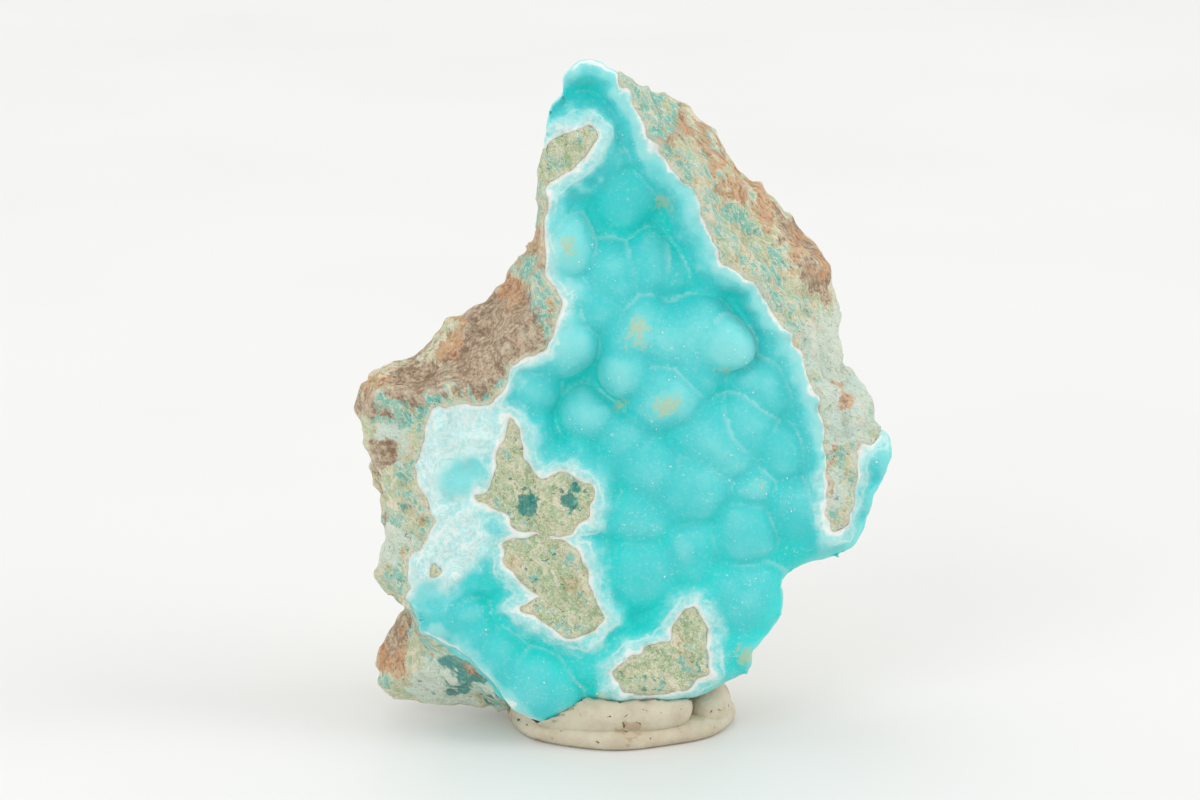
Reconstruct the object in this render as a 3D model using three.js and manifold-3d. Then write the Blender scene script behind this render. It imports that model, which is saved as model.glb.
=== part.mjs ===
// Raw hemimorphite: a turquoise botryoidal crust on its host rock, standing in a coil of display putty.
// Millimetres, +Z up. The crusted face looks towards -Y. The origin is on the table, under the putty.
// The stone is laid out upright, x to the right, y back from the plane of its rim, z up, then leaned back.
import * as THREE from "three";
import { mergeVertices } from "three/addons/utils/BufferGeometryUtils.js";
import Module from "manifold-3d";

// Driving dimensions of the stone
const FACE_LEAN_DEG = 7; // the crusted face leans back from upright
const FACE_FOOT_Y = -9; // the plane of the broken rim meets the table here
const FACE_HALF_WIDTH = 25;
const FACE_CROWN = 2.5; // the rim falls back this far at the half width
const CRUST_THICKNESS = 2.8;
const HOLLOW_DEPTH = 3.2; // the crust's floor lies this far behind the rim
const HOLLOW_RUN = 3.6; // it gets there over this distance from a broken edge
const BACK_FALL = 0.5; // the crust's back keeps this share of the hollow's depth up to its edge
const BROKEN_BAND = 0.9; // width of the crust's own broken edge, level with the rim
const EDGE_ROUND = 3; // radius with which the crust turns back at an unbroken edge
const LIP_THINNING = 0.9; // an unbroken edge that overhangs the rock is thinner than the crust by this
const BUBBLE_FILLET = 0.6; // the crust's bubbles run together with this radius
const GIRTH_DEPTH = 8; // the rock is widest this far behind the rim
const BACK_INSET = 5; // it draws in by this much over the next girth depth
const ROCK_SWELL = 0.7; // height of the slow swellings of the broken rock
const LEDGE_HEIGHT = 0.35; // height of its ledges, which run level with the rim
const LEDGE_SPACING = 7;
const FACET_ROUND = 1; // the edges between the facets of the back are rounded by this
const SEAM = 0.3; // gap between the crust and the rock
const EDGE_MARGIN = 1; // the crust takes in all of its unbroken edge, and this much past it

// Facets
const STONE_FACET = 1.9;
const SEAM_FACET = 5;
const EASING = 0.3; // how far each corner moves to the mean of its neighbours
const STONE_LOW = [-30, -6, -2];
const STONE_HIGH = [30, 24, 73];

// Driving dimensions of the putty
const PUTTY_HALF_WIDTH = 11.8;
const PUTTY_HALF_DEPTH = 9.4;
const FOOT_HEIGHT = 2.2; // the lowest turn, pressed flat on the table
const FOOT_ROUND = 0.8;
const ROPE_RADIUS = 2.1;
const ROPE_INSET = 0.45; // the upper turns stand this far inside the foot
const PUTTY_GAP = 0.5; // clearance around the stone
const ROPE_SIDES = 8;
const ROPE_STEPS = 8;

// Outlines in the plane of the rim, [x, z], clockwise as seen from the front
const RIGHT_RIM = [
  [-4, 69], [-2, 68.5], [0, 67], [1.5, 65], [3, 61.5], [5, 58.5], [7.5, 56], [8.5, 52.5], [10, 49],
  [13.5, 47], [15.5, 44], [17.5, 40.5], [19, 37], [20.3, 33], [20.8, 28], [20.8, 24], [22, 23], [23.5, 24],
  [23.9, 28], [23.2, 32.5],
];
const LOWER_EDGE = [
  [25, 32.5], [28.1, 30.7], [27.4, 26.7], [25.8, 22.7], [24, 18.8], [19.2, 18.1], [16.8, 17.1],
  [16.8, 12.7], [14.2, 10.5], [13.1, 7.3], [8.2, 5.1], [2.1, 4.1], [-1.7, 3.7], [-3.5, 1.7], [-6, 1.6],
  [-9.2, 2.7], [-12.3, 5.7], [-15.3, 9.2], [-19.2, 11.7],
];
const LEFT_RIM = [
  [-21.5, 15.5], [-20.5, 19.5], [-18, 23], [-20.5, 27.5], [-19.5, 31.5], [-18.5, 34.5], [-12.5, 35],
  [-10.5, 39], [-7.5, 40.5], [-5.5, 45.5], [-7.5, 47.5], [-7.5, 53], [-7, 56],
];
const TIP_EDGE = [[-7.5, 60], [-7, 64], [-6, 65.5], [-5.5, 67.5]];
const CRUST_OUTLINE = [...RIGHT_RIM, ...LOWER_EDGE, ...LEFT_RIM, ...TIP_EDGE];
const ROCK_FRONT = [
  [-4, 69], [-1.5, 69], [1, 67.8], [3, 65.5], [4.5, 62], [6.5, 59.3], [9, 56.5], [10, 53], [11.3, 50],
  [14.3, 48.2], [16.8, 44.7], [18.9, 41], [21, 37.5], [23.5, 34], [25.5, 30], [24, 23], [18, 21], [14, 17.5],
  [13.5, 13.5], [11, 10.5], [7, 8.5], [-3, 7], [-6, 5.5], [-9, 6.5], [-12, 8], [-17, 9.5], [-22.5, 11.5],
  [-23.5, 17.5], [-23, 20.5], [-23.5, 24], [-24.5, 28], [-25.5, 33], [-24.5, 35.5], [-14, 37], [-11.8, 41],
  [-9, 42.8], [-7.5, 45.5], [-8.5, 48], [-8.5, 53], [-8, 56], [-8, 60], [-7, 64], [-5.5, 67.5],
];
const ROCK_GIRTH = [
  [-4.5, 68.5], [-1.5, 68.5], [1.5, 66.5], [5, 65], [8, 62.5], [12, 57.5], [15, 55], [19.5, 50.5],
  [21.5, 48], [21, 45.5], [22.5, 42], [22.5, 38], [25, 34], [26.3, 30], [25, 25.5], [23, 22], [17.5, 20],
  [14, 17], [13.5, 12], [11, 9], [4, 6.5], [-3, 6], [-8, 2.5], [-13.5, 1.4], [-16, 1.6], [-20, 2],
  [-25, 3.4], [-26, 5], [-24.5, 8.5], [-22, 12.5], [-24.5, 16.5], [-23.5, 19], [-24, 22], [-25, 27.5], [-25, 30],
  [-26.5, 33.5], [-26, 35.5], [-22, 38.3], [-20, 39.2], [-17.7, 42], [-13.7, 44], [-11, 46], [-9, 50],
  [-7.2, 54], [-7.5, 58.5], [-7.5, 63], [-6, 66.5],
];
// Stubs of rock that stand through the crust, broken off level with the rim
const STUBS = [
  [
    [-10, 60], [-7.5, 60], [-5.5, 62], [-3, 62.5], [-2, 61.5], [-3.5, 59.5], [-5, 58], [-7, 57],
    [-10, 57],
  ],
  [
    [-11, 33.5], [-10, 32], [-9.5, 29.5], [-7.5, 27.5], [-4.5, 28], [-3, 26], [-3, 23.5], [-4, 20], [-3, 17],
    [-1.5, 13.5], [-3, 12], [-5, 11.5], [-8, 13], [-10, 14.5], [-10, 16], [-10.5, 17.5], [-11.5, 19.5],
    [-11.5, 21], [-11, 22.5], [-12, 24], [-14.5, 25.5], [-13, 26.5], [-12, 29], [-11.5, 32],
  ],
  [[-0.5, 8], [1, 9.5], [5, 11], [6, 13.5], [7.5, 14.5], [8.5, 13], [9, 8], [8, 2], [3, 2], [-1, 2]],
];
// Where the crust itself is broken through, level with the rim
const BROKEN_FACE = [
  [-18.5, 34.5], [-12.5, 34.5], [-12.5, 31], [-15, 25.5], [-13.5, 23.5], [-12.5, 21], [-16, 17], [-18, 15],
  [-21.5, 15.5], [-20.5, 19.5], [-18, 23], [-20.5, 27.5], [-19.5, 31.5],
];
// Deeper parts of the hollow: [x, z, radius, depth]
const HOLLOWS = [
  [3, 52.5, 5, 2.4], [12.5, 44.5, 3, 2.6], [-5, 36.5, 3, 1], [-14.5, 17, 3, 1.2], [-9, 9, 4, 0.8],
  [18, 26.5, 4, 0.8], [0.5, 13, 3, 1],
];
// The crust's bubbles: [x, z, radius, how far the top lies behind the rim]
const BUBBLES = [
  [-5.5, 50.5, 3.6, 0.2], [-1, 47.5, 3.6, 0.8], [2.5, 48, 3.1, 1.5], [5, 47.5, 2.6, 2.2], [8, 41, 4.2, -0.5],
  [10.3, 41, 2.2, -0.7], [2, 42, 3.6, 0], [4.5, 35.5, 3.2, -0.8], [0.5, 40, 2.2, -0.4], [-6, 40.5, 3.1, 0.3],
  [-5.5, 43, 1.6, 0.3], [-5, 46, 1.6, 0.3], [-3, 34, 2.6, 0.8], [1, 31, 2.6, 0.8], [9.5, 31, 4.3, -0.6],
  [14.5, 36.5, 4, 0.6], [7, 26.5, 4, -0.2], [12.5, 26, 2.2, 0.2], [11.5, 22.5, 2.6, 0], [3, 28.5, 3.2, 0.3],
  [2.5, 17.5, 4, 0.2], [7, 20, 3, 0.1], [11.5, 15, 4.6, -0.6], [11.5, 10.5, 3.1, 0.6], [15.5, 29.5, 2.6, 0.8],
  [17.5, 24.5, 3.6, 0.5], [2, 23, 3, 0.5], [-7.5, 6, 4, -0.2], [-2.5, 9.5, 3, 0.6], [0.5, 56, 4.4, 2.2],
  [-1, 60, 2.4, 1.2], [1, 64, 1.7, 0.8], [25.4, 29, 2.2, 0.2], [25, 25, 1.9, 0.4], [16, 41, 3.2, 1.2],
  [-12.5, 18, 2.2, 0.6], [-15, 13, 2.8, 0.3], [-2.5, 19.5, 2, 0.8], [-2, 27.5, 2, 0.8],
  [-8.5, 36.5, 2.6, 0.6], [-3, 44.5, 3, 0.6],
];
// Facets of the broken back: [x, y, z] direction and distance from the middle of the girth
const ROCK_MIDDLE = [0, GIRTH_DEPTH, 33];
const BACK_FACETS = [
  [0.05, 1, 0.12, 9.5], [0.75, 0.62, 0.25, 22.5], [-0.7, 0.68, 0.2, 21], [0.1, 0.78, 0.62, 25],
  [-0.2, 0.84, -0.5, 21], [0.55, 0.63, -0.55, 21],
];
// Upper turns of the putty: [degrees round from the right, height of the middle]
const FRONT_ROPE = [[150, 1.9], [185, 1.9], [220, 2.2], [250, 2.7], [280, 3.1], [305, 3.4], [318, 3.3]];
const SIDE_ROPE = [[-38, 1.7], [-15, 2.1], [15, 2.3], [50, 2.3], [90, 2.2], [125, 2]];

const CRUST_COLOUR = 0x35c0c2;
const ROCK_COLOUR = 0xa88f6c;
const PUTTY_COLOUR = 0xd9d0c2;

// Distances in the plane of the rim

function segmentDistance(x, z, [ax, az], [bx, bz]) {
  const along = ((x - ax) * (bx - ax) + (z - az) * (bz - az)) / ((bx - ax) ** 2 + (bz - az) ** 2);
  const t = THREE.MathUtils.clamp(along, 0, 1);
  return Math.hypot(x - ax - t * (bx - ax), z - az - t * (bz - az));
}

// Distance from an open line.
function lineDistance(line, x, z) {
  return Math.min(...line.slice(1).map((end, i) => segmentDistance(x, z, line[i], end)));
}

// Signed distance from a closed outline, negative inside it.
function outlineDistance(outline, x, z) {
  const closed = [...outline, outline[0]];
  let inside = false;
  outline.forEach(([ax, az], i) => {
    const [bx, bz] = closed[i + 1];
    const crossed = az > z !== bz > z && x < ((bx - ax) * (z - az)) / (bz - az) + ax;
    inside = inside !== crossed;
  });
  return lineDistance(closed, x, z) * (inside ? -1 : 1);
}

// The smaller of two distances, with a fillet where they meet.
function blendedMin(a, b, radius) {
  const overlap = Math.max(radius - Math.abs(a - b), 0) / radius;
  return Math.min(a, b) - (overlap ** 2 * radius) / 4;
}

// The larger of two distances, with the corner between them rounded.
function blendedMax(a, b, radius) {
  return -blendedMin(-a, -b, radius);
}

// The face

function rimDepth(x) {
  return FACE_CROWN * (x / FACE_HALF_WIDTH) ** 2;
}

function stubDistance(x, z) {
  return Math.min(...STUBS.map((stub) => outlineDistance(stub, x, z)));
}

// How far a point of the crust is from the nearest broken edge, or nothing off the crust.
function brokenEdgeDistance(x, z) {
  if (outlineDistance(CRUST_OUTLINE, x, z) > 0) return 0;
  const rim = Math.min(lineDistance(RIGHT_RIM, x, z), lineDistance(LEFT_RIM, x, z));
  return Math.max(0, Math.min(rim, stubDistance(x, z), outlineDistance(BROKEN_FACE, x, z)));
}

// Depth of the face: level at a broken edge, hollow inside it, turned back at an unbroken edge.
function floorDepth(x, z, leastFall = 0) {
  const run = (brokenEdgeDistance(x, z) - BROKEN_BAND) / HOLLOW_RUN;
  const fall = Math.max(THREE.MathUtils.smoothstep(run, 0, 1), leastFall);
  let hollow = HOLLOW_DEPTH;
  for (const [hx, hz, radius, depth] of HOLLOWS) {
    hollow += depth * Math.exp(-((x - hx) ** 2 + (z - hz) ** 2) / radius ** 2);
  }
  const inward = EDGE_ROUND - Math.min(lineDistance(LOWER_EDGE, x, z), EDGE_ROUND);
  const turnedBack = EDGE_ROUND - Math.sqrt(EDGE_ROUND ** 2 - inward ** 2);
  return rimDepth(x) + hollow * fall + turnedBack;
}

// Depth of the crust's back, which is flatter than the face.
function backDepth(x, z) {
  return floorDepth(x, z, BACK_FALL) + CRUST_THICKNESS;
}

// The whole stone, crust and rock, as signed distances along y at one x and z

const bubbles = BUBBLES.map(([x, z, radius, top]) => ({ x, y: rimDepth(x) + top + radius, z, radius }));

// Slow swellings of the rock, as three crossed waves, and level ledges.
function rockRelief(x, y, z) {
  const across = Math.sin(0.62 * x + 0.35 * z + 1.3);
  const rising = Math.sin(0.55 * z - 0.4 * x + 0.7 * y);
  const falling = Math.sin(0.3 * x - 0.5 * z + 0.9 * y);
  const level = y + 0.12 * z + 0.5 * Math.sin(0.3 * z + 0.2 * x);
  const ledge = Math.sin((2 * Math.PI * level) / LEDGE_SPACING);
  return (ROCK_SWELL * (across + rising + falling)) / 3 + LEDGE_HEIGHT * ledge;
}

function stoneField(x, z) {
  const frontSection = outlineDistance(ROCK_FRONT, x, z);
  const girthSection = outlineDistance(ROCK_GIRTH, x, z);
  const crustSection = outlineDistance(CRUST_OUTLINE, x, z);
  const rim = rimDepth(x);
  const floor = floorDepth(x, z);
  const back = backDepth(x, z);
  return (y) => {
    const t = (y - rim) / GIRTH_DEPTH;
    const widening = THREE.MathUtils.lerp(frontSection, girthSection, THREE.MathUtils.clamp(t, 0, 1));
    const narrowing = BACK_INSET * Math.max(t - 1, 0) ** 2;
    let rock = widening + narrowing + rockRelief(x, y, z);
    for (const [fx, fy, fz, distance] of BACK_FACETS) {
      const out = (x - ROCK_MIDDLE[0]) * fx + (y - ROCK_MIDDLE[1]) * fy + (z - ROCK_MIDDLE[2]) * fz;
      rock = blendedMax(rock, out / Math.hypot(fx, fy, fz) - distance, FACET_ROUND);
    }
    let bubbled = Infinity;
    for (const bubble of bubbles) {
      const away = Math.hypot(x - bubble.x, y - bubble.y, z - bubble.z) - bubble.radius;
      bubbled = blendedMin(bubbled, away, BUBBLE_FILLET);
    }
    const face = blendedMin(floor - y, Math.max(bubbled, crustSection), BUBBLE_FILLET);
    const body = Math.min(rock, Math.max(crustSection, y - back + LIP_THINNING));
    return blendedMax(body, face, BUBBLE_FILLET);
  };
}

// Facets over a field of distances

const CORNERS = [0, 1].flatMap((a) => [0, 1].flatMap((b) => [0, 1].map((c) => [a, b, c])));
const AXES = [[1, 0, 0], [0, 1, 0], [0, 0, 1]];
const CELL_EDGES = AXES.flatMap((axis, n) =>
  CORNERS.filter((corner) => corner[n] === 0).map((corner) => [corner, corner.map((c, m) => c + axis[m])]));

class Grid {
  constructor(field, step) {
    this.step = step;
    this.count = STONE_LOW.map((low, n) => Math.ceil((STONE_HIGH[n] - low) / step) + 1);
    this.values = new Float32Array(this.count[0] * this.count[1] * this.count[2]);
    for (let i = 0; i < this.count[0]; i++) {
      for (let k = 0; k < this.count[2]; k++) {
        const column = field(STONE_LOW[0] + i * step, STONE_LOW[2] + k * step);
        for (let j = 0; j < this.count[1]; j++) {
          this.values[this.at([i, j, k])] = column(STONE_LOW[1] + j * step);
        }
      }
    }
  }

  at([i, j, k]) {
    return (i * this.count[1] + j) * this.count[2] + k;
  }

  forEachInner(visit) {
    for (let i = 1; i < this.count[0] - 1; i++) {
      for (let j = 1; j < this.count[1] - 1; j++) {
        for (let k = 1; k < this.count[2] - 1; k++) visit([i, j, k]);
      }
    }
  }

  // Joins solid corners that touch only across a square's diagonal, so that no edge has four faces.
  joinDiagonals() {
    let joined = false;
    this.forEachInner((cell) => {
      AXES.forEach((p, n) => {
        const q = AXES[(n + 1) % 3];
        const square = [[0, 0], [1, 0], [1, 1], [0, 1]].map(([a, b]) =>
          this.at(cell.map((c, m) => c + a * p[m] + b * q[m])));
        const [a, b, c, d] = square.map((corner) => this.values[corner] < 0);
        if (a !== c || b !== d || a === b) return;
        const [one, other] = a ? [square[1], square[3]] : [square[0], square[2]];
        this.values[this.values[one] < this.values[other] ? one : other] = -0.01 * this.step;
        joined = true;
      });
    });
    return joined;
  }

  // The mean of the places where the surface crosses a cell's edges.
  crossing(cell) {
    const mean = new THREE.Vector3();
    let crossings = 0;
    for (const [start, end] of CELL_EDGES) {
      const before = this.values[this.at(cell.map((c, m) => c + start[m]))];
      const after = this.values[this.at(cell.map((c, m) => c + end[m]))];
      if (before < 0 === after < 0) continue;
      mean.add(new THREE.Vector3(...start).lerp(new THREE.Vector3(...end), before / (before - after)));
      crossings++;
    }
    return mean.divideScalar(crossings).add(new THREE.Vector3(...cell)).multiplyScalar(this.step);
  }
}

// One closed surface where a field is zero.
function skin(field, step) {
  const grid = new Grid(field, step);
  while (grid.joinDiagonals());
  const corners = [];
  const cornerOf = new Map();
  const corner = (cell) => {
    const key = grid.at(cell);
    if (!cornerOf.has(key)) cornerOf.set(key, corners.push(grid.crossing(cell)) - 1);
    return cornerOf.get(key);
  };
  const index = [];
  grid.forEachInner((cell) => {
    const here = grid.values[grid.at(cell)] < 0;
    AXES.forEach((axis, n) => {
      if (here === grid.values[grid.at(cell.map((c, m) => c + axis[m]))] < 0) return;
      const p = AXES[(n + 1) % 3];
      const q = AXES[(n + 2) % 3];
      const ring = [[0, 0], [1, 0], [1, 1], [0, 1]].map(([a, b]) =>
        corner(cell.map((c, m) => c - a * p[m] - b * q[m])));
      if (!here) ring.reverse();
      const [a, b, c, d] = ring;
      const splitAtA = corners[a].distanceTo(corners[c]) < corners[b].distanceTo(corners[d]);
      index.push(...(splitAtA ? [a, b, c, a, c, d] : [b, c, d, b, d, a]));
    });
  });
  const geometry = new THREE.BufferGeometry().setFromPoints(eased(corners, index));
  geometry.setIndex(index);
  return geometry.translate(...STONE_LOW);
}

// A column of a field, grown by a distance.
function grown(column, distance) {
  return (y) => column(y) - distance;
}

// Moves each corner part of the way to the mean of its neighbours, which evens the facets.
function eased(corners, index) {
  const sums = corners.map(() => new THREE.Vector3());
  const counts = corners.map(() => 0);
  index.forEach((from, i) => {
    const to = index[i % 3 === 2 ? i - 2 : i + 1];
    sums[from].add(corners[to]);
    counts[from]++;
  });
  return corners.map((point, i) => point.clone().lerp(sums[i].divideScalar(counts[i]), EASING));
}

// Solids, for cutting and joining

const wasm = await Module();
wasm.setup();

function solidOf(geometry) {
  const bare = new THREE.BufferGeometry().setAttribute("position", geometry.attributes.position);
  bare.setIndex(geometry.index);
  const merged = mergeVertices(bare, 1e-4);
  const vertProperties = merged.attributes.position.array;
  const triVerts = new Uint32Array(merged.index.array);
  return new wasm.Manifold(new wasm.Mesh({ numProp: 3, vertProperties, triVerts }));
}

function geometryOf(solid) {
  const mesh = solid.getMesh();
  const geometry = new THREE.BufferGeometry();
  geometry.setAttribute("position", new THREE.BufferAttribute(mesh.vertProperties, 3));
  geometry.setIndex(new THREE.BufferAttribute(mesh.triVerts, 1));
  return geometry;
}

// The crust's share of the stone

// Moves a line's points to its left, which for a clockwise outline is outwards.
function moved(line, distance, closed) {
  const last = line.length - 1;
  return line.map(([x, z], i) => {
    const [ax, az] = line[closed ? (i + last) % line.length : Math.max(i - 1, 0)];
    const [bx, bz] = line[closed ? (i + 1) % line.length : Math.min(i + 1, last)];
    const length = Math.hypot(bx - ax, bz - az);
    return [x - (distance * (bz - az)) / length, z + (distance * (bx - ax)) / length];
  });
}

// A straight prism along y through an outline.
function prismSolid(outline) {
  const shape = new THREE.Shape(outline.map(([x, z]) => new THREE.Vector2(x, z)));
  const depth = STONE_HIGH[1] - STONE_LOW[1];
  const prism = new THREE.ExtrudeGeometry(shape, { depth, bevelEnabled: false });
  return solidOf(prism.rotateX(Math.PI / 2).translate(0, STONE_HIGH[1], 0));
}

// Everything in front of the crust's back, moved back by the given distance.
function inFrontSolid(distance) {
  const [width, depth, height] = STONE_HIGH.map((high, n) => high - STONE_LOW[n]);
  const columns = Math.round(width / SEAM_FACET);
  const rows = Math.round(height / SEAM_FACET);
  const block = new THREE.BoxGeometry(width, depth, height, columns, 1, rows);
  block.translate(STONE_LOW[0] + width / 2, STONE_LOW[1], STONE_LOW[2] + height / 2);
  const position = block.attributes.position;
  for (let i = 0; i < position.count; i++) {
    if (position.getY(i) < STONE_LOW[1]) continue;
    position.setY(i, backDepth(position.getX(i), position.getZ(i)) + distance);
  }
  return solidOf(block);
}

function crustShare(distance) {
  const lowerEdge = moved(LOWER_EDGE, EDGE_MARGIN, false);
  const tipEdge = moved(TIP_EDGE, EDGE_MARGIN, false);
  const outline = moved([...RIGHT_RIM, ...lowerEdge, ...LEFT_RIM, ...tipEdge], distance, true);
  let share = prismSolid(outline).intersect(inFrontSolid(distance));
  for (const stub of STUBS) share = share.subtract(prismSolid(moved(stub, -distance, true)));
  return share;
}

// The putty, in the part's own frame

function footSolid() {
  const shape = new THREE.Shape();
  shape.absellipse(0, 0, PUTTY_HALF_WIDTH - FOOT_ROUND, PUTTY_HALF_DEPTH - FOOT_ROUND, 0, 2 * Math.PI);
  const foot = new THREE.ExtrudeGeometry(shape, {
    depth: FOOT_HEIGHT - 2 * FOOT_ROUND,
    bevelThickness: FOOT_ROUND,
    bevelSize: FOOT_ROUND,
    bevelSegments: 1,
    curveSegments: 10,
  });
  return solidOf(foot.translate(0, 0, FOOT_ROUND));
}

// A rolled rope of putty with round ends.
function ropeSolid(turn) {
  const across = PUTTY_HALF_WIDTH - ROPE_RADIUS - ROPE_INSET;
  const deep = PUTTY_HALF_DEPTH - ROPE_RADIUS - ROPE_INSET;
  const points = turn.map(([degrees, height]) => {
    const angle = THREE.MathUtils.degToRad(degrees);
    return new THREE.Vector3(across * Math.cos(angle), deep * Math.sin(angle), height);
  });
  const circle = new THREE.Path().absarc(0, 0, ROPE_RADIUS, 0, 2 * Math.PI);
  const section = new THREE.Shape(circle.getPoints(ROPE_SIDES / 2));
  const extrudePath = new THREE.CatmullRomCurve3(points);
  let rope = solidOf(new THREE.ExtrudeGeometry(section, { steps: ROPE_STEPS, extrudePath }));
  for (const end of [points[0], points.at(-1)]) {
    const ball = new THREE.SphereGeometry(ROPE_RADIUS, ROPE_SIDES, ROPE_SIDES / 2);
    rope = rope.add(solidOf(ball.translate(end.x, end.y, end.z)));
  }
  return rope;
}

function puttySolid() {
  const belowTable = new THREE.BoxGeometry(4 * PUTTY_HALF_WIDTH, 4 * PUTTY_HALF_DEPTH, 2 * ROPE_RADIUS);
  const coil = footSolid().add(ropeSolid(FRONT_ROPE)).add(ropeSolid(SIDE_ROPE));
  return coil.subtract(solidOf(belowTable.translate(0, 0, -ROPE_RADIUS)));
}

// The part

function named(name, geometry, color, roughness) {
  const material = new THREE.MeshStandardMaterial({ color, roughness, metalness: 0, flatShading: true });
  const mesh = new THREE.Mesh(geometry, material);
  mesh.name = name;
  return mesh;
}

const wholeStone = solidOf(skin(stoneField, STONE_FACET));
const crust = wholeStone.intersect(crustShare(0));
const rock = wholeStone.subtract(crustShare(SEAM));

const stone = new THREE.Group();
stone.position.y = FACE_FOOT_Y;
stone.rotation.x = THREE.MathUtils.degToRad(-FACE_LEAN_DEG);
stone.add(named("hemimorphite_crust", geometryOf(crust), CRUST_COLOUR, 0.45));
stone.add(named("matrix_rock", geometryOf(rock), ROCK_COLOUR, 0.95));
stone.updateMatrix();

const grownStone = skin((x, z) => grown(stoneField(x, z), PUTTY_GAP), STONE_FACET);
const putty = puttySolid().subtract(solidOf(grownStone.applyMatrix4(stone.matrix)));

const part = new THREE.Group();
part.add(stone, named("putty_coil", geometryOf(putty), PUTTY_COLOUR, 0.8));

export default part;
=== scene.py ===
"""Raw hemimorphite: a botryoidal crust on its host rock, standing in a coil of display putty."""
import math

import bmesh
import bpy
import numpy as np
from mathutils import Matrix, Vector


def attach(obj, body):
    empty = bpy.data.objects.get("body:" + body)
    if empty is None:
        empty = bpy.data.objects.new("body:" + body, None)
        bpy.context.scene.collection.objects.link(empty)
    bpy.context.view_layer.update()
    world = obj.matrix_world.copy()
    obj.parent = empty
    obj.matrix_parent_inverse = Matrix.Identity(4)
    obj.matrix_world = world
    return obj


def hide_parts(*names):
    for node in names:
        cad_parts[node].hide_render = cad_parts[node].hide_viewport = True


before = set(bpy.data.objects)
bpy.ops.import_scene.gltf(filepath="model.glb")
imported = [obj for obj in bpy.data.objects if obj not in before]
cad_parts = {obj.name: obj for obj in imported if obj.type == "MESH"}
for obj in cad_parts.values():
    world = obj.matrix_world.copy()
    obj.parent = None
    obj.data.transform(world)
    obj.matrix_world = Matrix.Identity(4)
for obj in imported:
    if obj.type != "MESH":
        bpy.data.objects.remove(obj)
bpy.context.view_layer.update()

bl_info = {
    "name": "Raw hemimorphite",
    "version": (1, 0, 0),
    "blender": (4, 5, 0),
    "location": "View3D > Sidebar > Hemimorphite",
    "description": "Builds a hemimorphite crust on its rock, the putty that holds it and a plain stage",
    "category": "Object",
}

MM = 0.001

# The stone is laid out upright in millimetres, then leaned back: x to the right, y back from its rim, z up.
FACE_LEAN = math.radians(7)
FACE_FOOT_Y = -9
FACE_HALF_WIDTH = 25
FACE_CROWN = 2.5
CRUST_THICKNESS = 2.8
HOLLOW_DEPTH = 3.2
HOLLOW_RUN = 4.6
BACK_FALL = 0.5
BROKEN_BAND = 0.4
EDGE_ROUND = 3
STEEPEST_EDGE = 0.95
LIP_THINNING = 0.9
LIP_TURN = 0.5
LIP_RAGGED = 0.12
LIP_GRAIN = 0.08
LIP_GRAIN_CELL = 1.3
BREAK_WIDTH = (0.1, 1.6)
BREAK_RELIEF = 1.1
BUBBLE_FILLET = 0.5
BUBBLE_RELIEF = 1.8
GROUND_FILLET = 0.6
GROUND_WEIGHT = 0.25
GROUND_SWELL = 0.25
GROUND_SWELL_CELL = 3.4
# Width, side and steps of the painted highlight along the bubbles' upper rims
RIM_WIDTH = 0.34
RIM_SIDE = (0.5, 0.87)
RIM_TURN = (-0.1, 0.6)
RIM_STEP = (0, 0.6)
GROUND_TOP = 99
GIRTH_DEPTH = 8
BACK_INSET = 5
ROCK_SWELL = 0.7
LEDGE_HEIGHT = 0.35
LEDGE_SPACING = 7
FACET_ROUND = 1
EDGE_MARGIN = 0.8
STONE_LOW = (-30, -3, -1.5)
STONE_HIGH = (30.5, 24, 72)
CRUST_BACK = 12
DOME_SPACING = 2.4
DOME_WANDER = 0.8
DOME_WANDER_CELL = 5
DOME_SHIFT = 0.42
BUBBLE_WARP = 0.7
BUBBLE_WARP_CELL = 4
BUBBLE_REACH = 3
BUBBLE_SPREAD = 0.68
FAR_OFF = 9.0
EDGE_FILLET = 0.35
LIP_FILLET = 1.6
RECESS_RADIUS = 4
ROCK_SUNK = 0.6
ROCK_LAP = 0.7
COPPER_DEPTH = 7
COPPER_FADE = 4
TIPS_DEPTH = 6
TIPS_SEED = 5
CRUST_EASING = 12
ROCK_EASING = 8
LIP_FADE = 5
RIGHT_RIM_WEAR = 0.05
LEFT_RIM_WEAR = 0.6
TONGUE_WEAR = 0.3
LIP_WEAR = 0.2

# Outlines in the plane of the rim, (x, z), clockwise as seen from the front
RIGHT_RIM = [
    (-4.6, 68.5), (-3.2, 69), (-1.8, 68.8), (-0.2, 67.6), (1.3, 65.4), (3, 61.5), (5, 58.5), (7.5, 56),
    (8.5, 52.5), (10, 49), (13.5, 47), (15.5, 44), (17.5, 40.5), (19, 37), (20.3, 33),
]
# The rim goes on round a tongue of rock that runs down behind the right lobe.
TONGUE = [
    (20.7, 28), (20.5, 23.4), (21.3, 21.6), (22.5, 21.8), (23.3, 24.8), (23.7, 27.4), (23.2, 29.9),
    (23.9, 30.8), (24.9, 30.6), (26.1, 31.6),
]
WHOLE_RIGHT_RIM = RIGHT_RIM + TONGUE
LOBES = [
    (26.9, 30.8), (27.4, 29.6), (26.4, 26.8), (25.3, 25), (24.5, 21.2), (22.7, 19.2), (19.6, 18.4),
    (16.9, 17.4), (16.2, 16.6), (16.4, 14.5), (15.9, 12.3), (14.5, 10.6), (13.4, 9.7), (13, 7.3),
]
LOBE_SWELL = 0.06
FOOT_EDGE = [(8.2, 5.1), (2.1, 4.1), (-1.7, 3.7)]
FOOT_LIP = [(-3.5, 1.7), (-6, 1.6), (-9.2, 2.7), (-12.3, 5.7), (-15.3, 9.2), (-19.2, 11.7)]
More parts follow.
